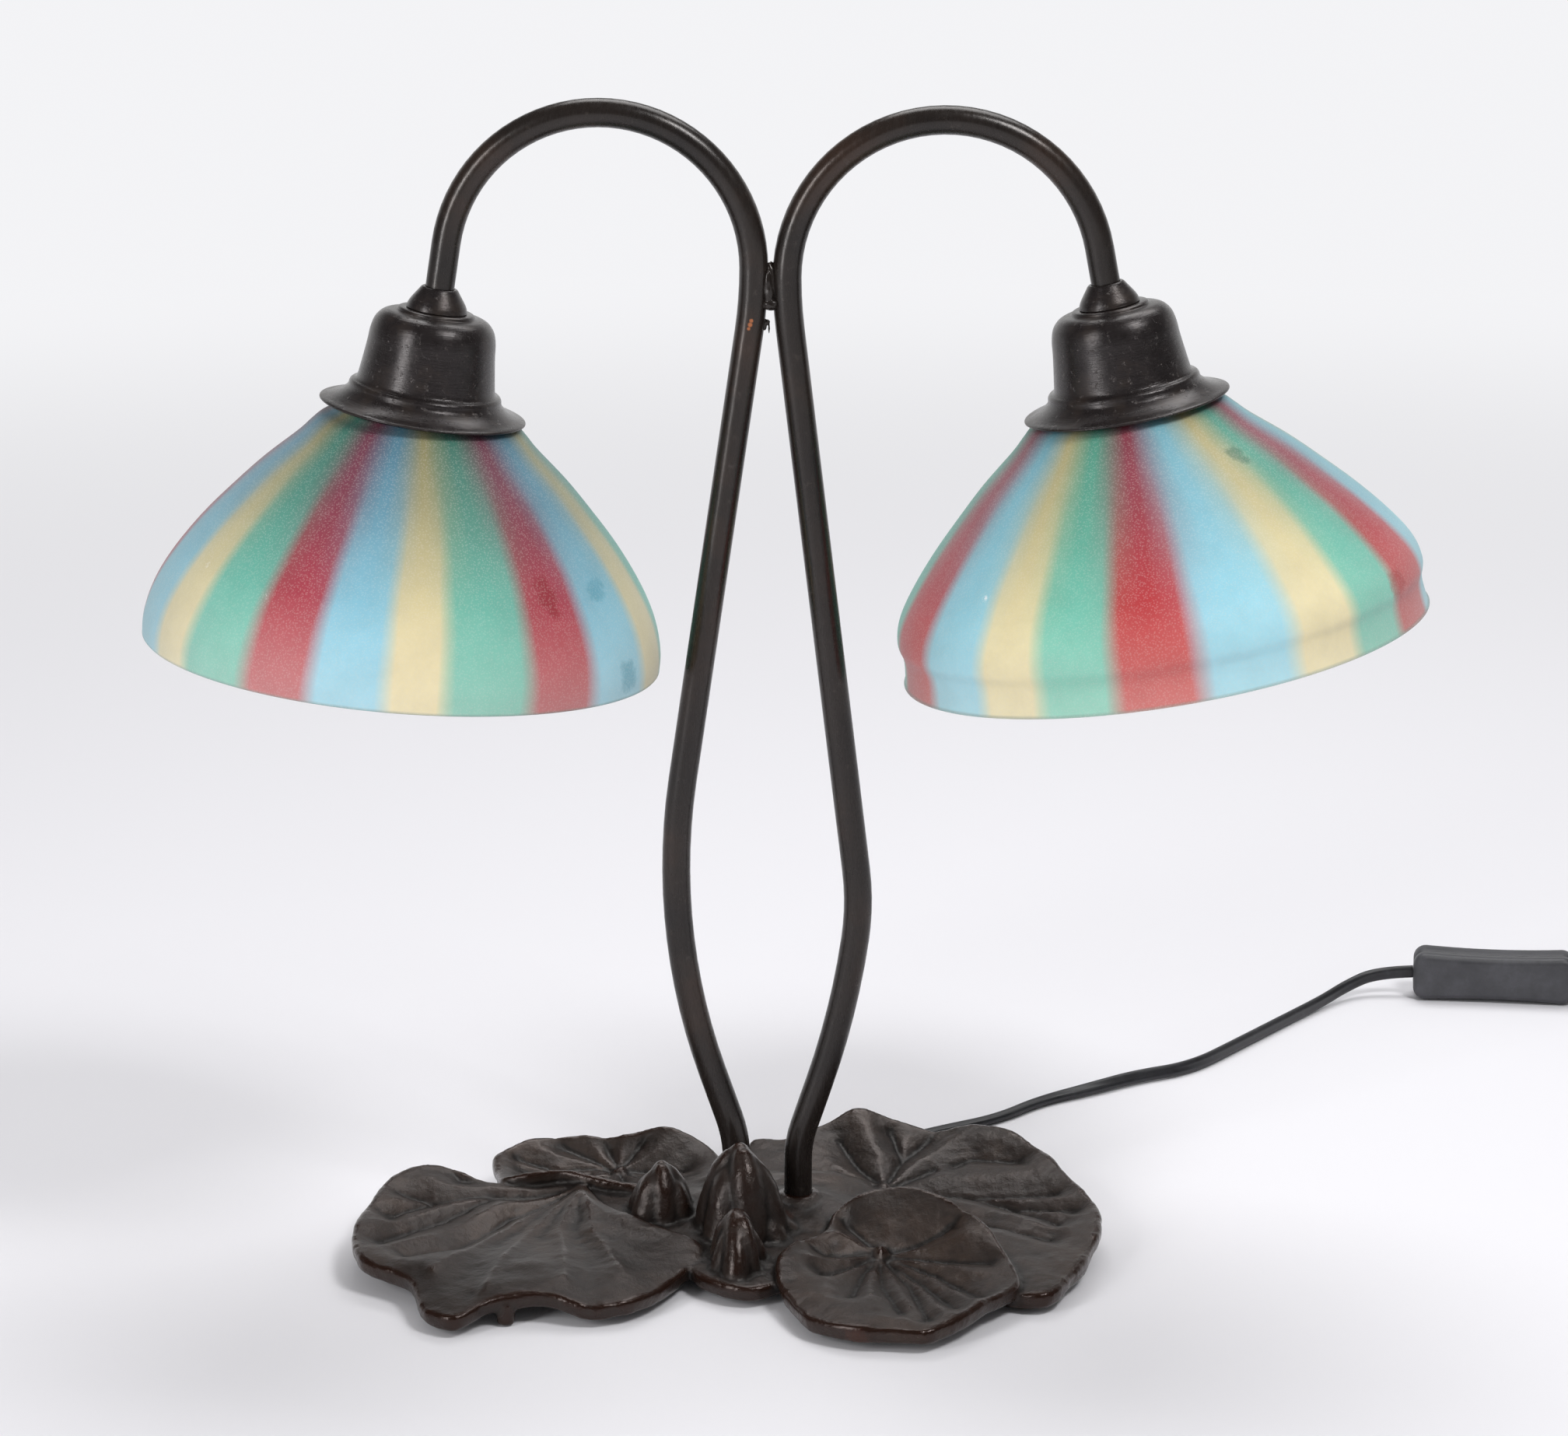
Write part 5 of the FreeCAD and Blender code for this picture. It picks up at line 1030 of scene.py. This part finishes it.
# Tie round the spare cord: a coated strip bent close about the coil.
tieSet = {"bearing": 200.0, "inner": 18.2, "outer": 40.3, "low": 0.78, "high": 7.75, "halfBand": 2.5,
          "corner": 1.6,
          "skin": [(0, 0), (0.2, 0.15), (0.5, 0.15),
                   (0.7, 0)]}  # skin: outwards and along, from the inner face to the outer
reach, rise = (tieSet["outer"] - tieSet["inner"]) / 2, (tieSet["high"] - tieSet["low"]) / 2
bearing = math.radians(tieSet["bearing"])
middle = (tieSet["outer"] + tieSet["inner"]) / 2
(coilX, coilY), band = cordSet["coilCentre"], tieSet["halfBand"]
tieMiddle = (coilX + middle * math.cos(bearing), coilY + middle * math.sin(bearing), tieSet["low"] + rise)
tieSteps = [(0, band)] + [(more, -band - along) for more, along in tieSet["skin"]]
tieSteps += [(more, band + along) for more, along in tieSet["skin"][:0:-1]]
tieSteps = [(roundedLoop(reach + more, rise + more, tieSet["corner"] + more, 0), depth) for more,
            depth in tieSteps]
tie = shellMesh("coil_tie_strip", tieSteps, "loop", tieSkin, tieMiddle, tieSet["bearing"])
standIn(tie, "cord_sheath", "coil_tie")
standIn(switchCord, "cord_sheath", "cord_to_switch")
standIn(plugCord, "cord_sheath", "cord_to_coil", "cord_coil", "cord_to_plug")
print("switch and tie made")

# Floor, white surroundings and soft studio light.
studio = {"floor": "#e3e2e6", "world": 0.36, "seen": 0.95, "overhead": 0.07,
          "leftBox": {"azimuth": -46, "rise": 16, "away": 1.7, "size": (0.3, 1.0), "watts": 13},
          "rightBox": {"azimuth": 48, "rise": 52, "away": 1.7, "size": (0.45, 0.45), "watts": 14},
          "backBox": {"azimuth": 165, "rise": 62, "away": 1.8, "size": (1.4, 1.0), "watts": 20}}
world = bpy.data.worlds.new("whiteStudio")
scene.world = world
world.use_nodes = True
tree = world.node_tree
paths = addNode(tree, "LightPath")
seen = maths(tree, "MAXIMUM", paths.outputs["Is Camera Ray"], paths.outputs["Is Glossy Ray"])
seen = maths(tree, "MAXIMUM", seen, paths.outputs["Is Transmission Ray"])
facing = addNode(tree, "SeparateXYZ", {"Vector": addNode(tree, "TexCoord").outputs["Generated"]})
behind = remap(tree, facing.outputs["Y"], 0.1, 0.85, interpolation_type="SMOOTHSTEP")
low = remap(tree, facing.outputs["Z"], 0.62, 0.2, interpolation_type="SMOOTHSTEP")
backdrop = maths(tree, "MULTIPLY", behind, low)
room = remap(tree, backdrop, 0.0, 1.0, studio["overhead"], studio["seen"])
strength = remap(tree, seen, 0.0, 1.0, studio["world"], studio["seen"])
strength = mixed(tree, paths.outputs["Is Glossy Ray"], strength, room)
sky = tree.nodes["Background"]
sky.inputs["Color"].default_value = (1, 1, 1, 1)
tree.links.new(strength.outputs[0],
               sky.inputs["Strength"])  # a white backdrop behind the lamp, a dim room in front

for name in ("leftBox", "rightBox", "backBox"):
    box = studio[name]
    light = bpy.data.lights.new(name, "AREA")
    light.shape = "RECTANGLE"
    light.size, light.size_y = box["size"]
    light.energy = box["watts"]
    lamp = bpy.data.objects.new(name, light)
    scene.collection.objects.link(lamp)
    turn, rise = math.radians(box["azimuth"]), math.radians(box["rise"])
    way = Vector((math.sin(turn) * math.cos(rise), -math.cos(turn) * math.cos(rise), math.sin(rise)))
    lamp.location = Vector((0, 0, 0.2)) + way * box["away"]
    lamp.rotation_euler = (-way).to_track_quat("-Z", "Y").to_euler()

# Seamless white paper: plain under the lamp, where it keeps the shadow, and pure white further off.
paper, tree, place = startMaterial("seamlessPaper")
tree.nodes.remove(tree.nodes["Principled BSDF"])
reach = addNode(tree, "VectorMath", {0: place}, operation="LENGTH").outputs["Value"]
far = remap(tree, reach, 0.45, 2.2, interpolation_type="SMOOTHSTEP")
paths = addNode(tree, "LightPath")
seen = maths(tree, "MAXIMUM", paths.outputs["Is Camera Ray"], paths.outputs["Is Glossy Ray"])
bright = maths(tree, "MULTIPLY", seen, far)
matte = addNode(tree, "BsdfDiffuse", {"Color": linear(studio["floor"])})
glow = addNode(tree, "Emission", {"Color": (0.9, 0.9, 0.92, 1), "Strength": 1.0})
blend = addNode(tree, "MixShader", {0: bright, 1: matte, 2: glow})
tree.links.new(blend.outputs[0], tree.nodes["Material Output"].inputs["Surface"])
floor = makeObject("paper_floor", [(-15, -15, 0), (15, -15, 0), (15, 15, 0), (-15, 15, 0)], [(0, 1, 2, 3)],
                   paper, False)
print("studio lit")
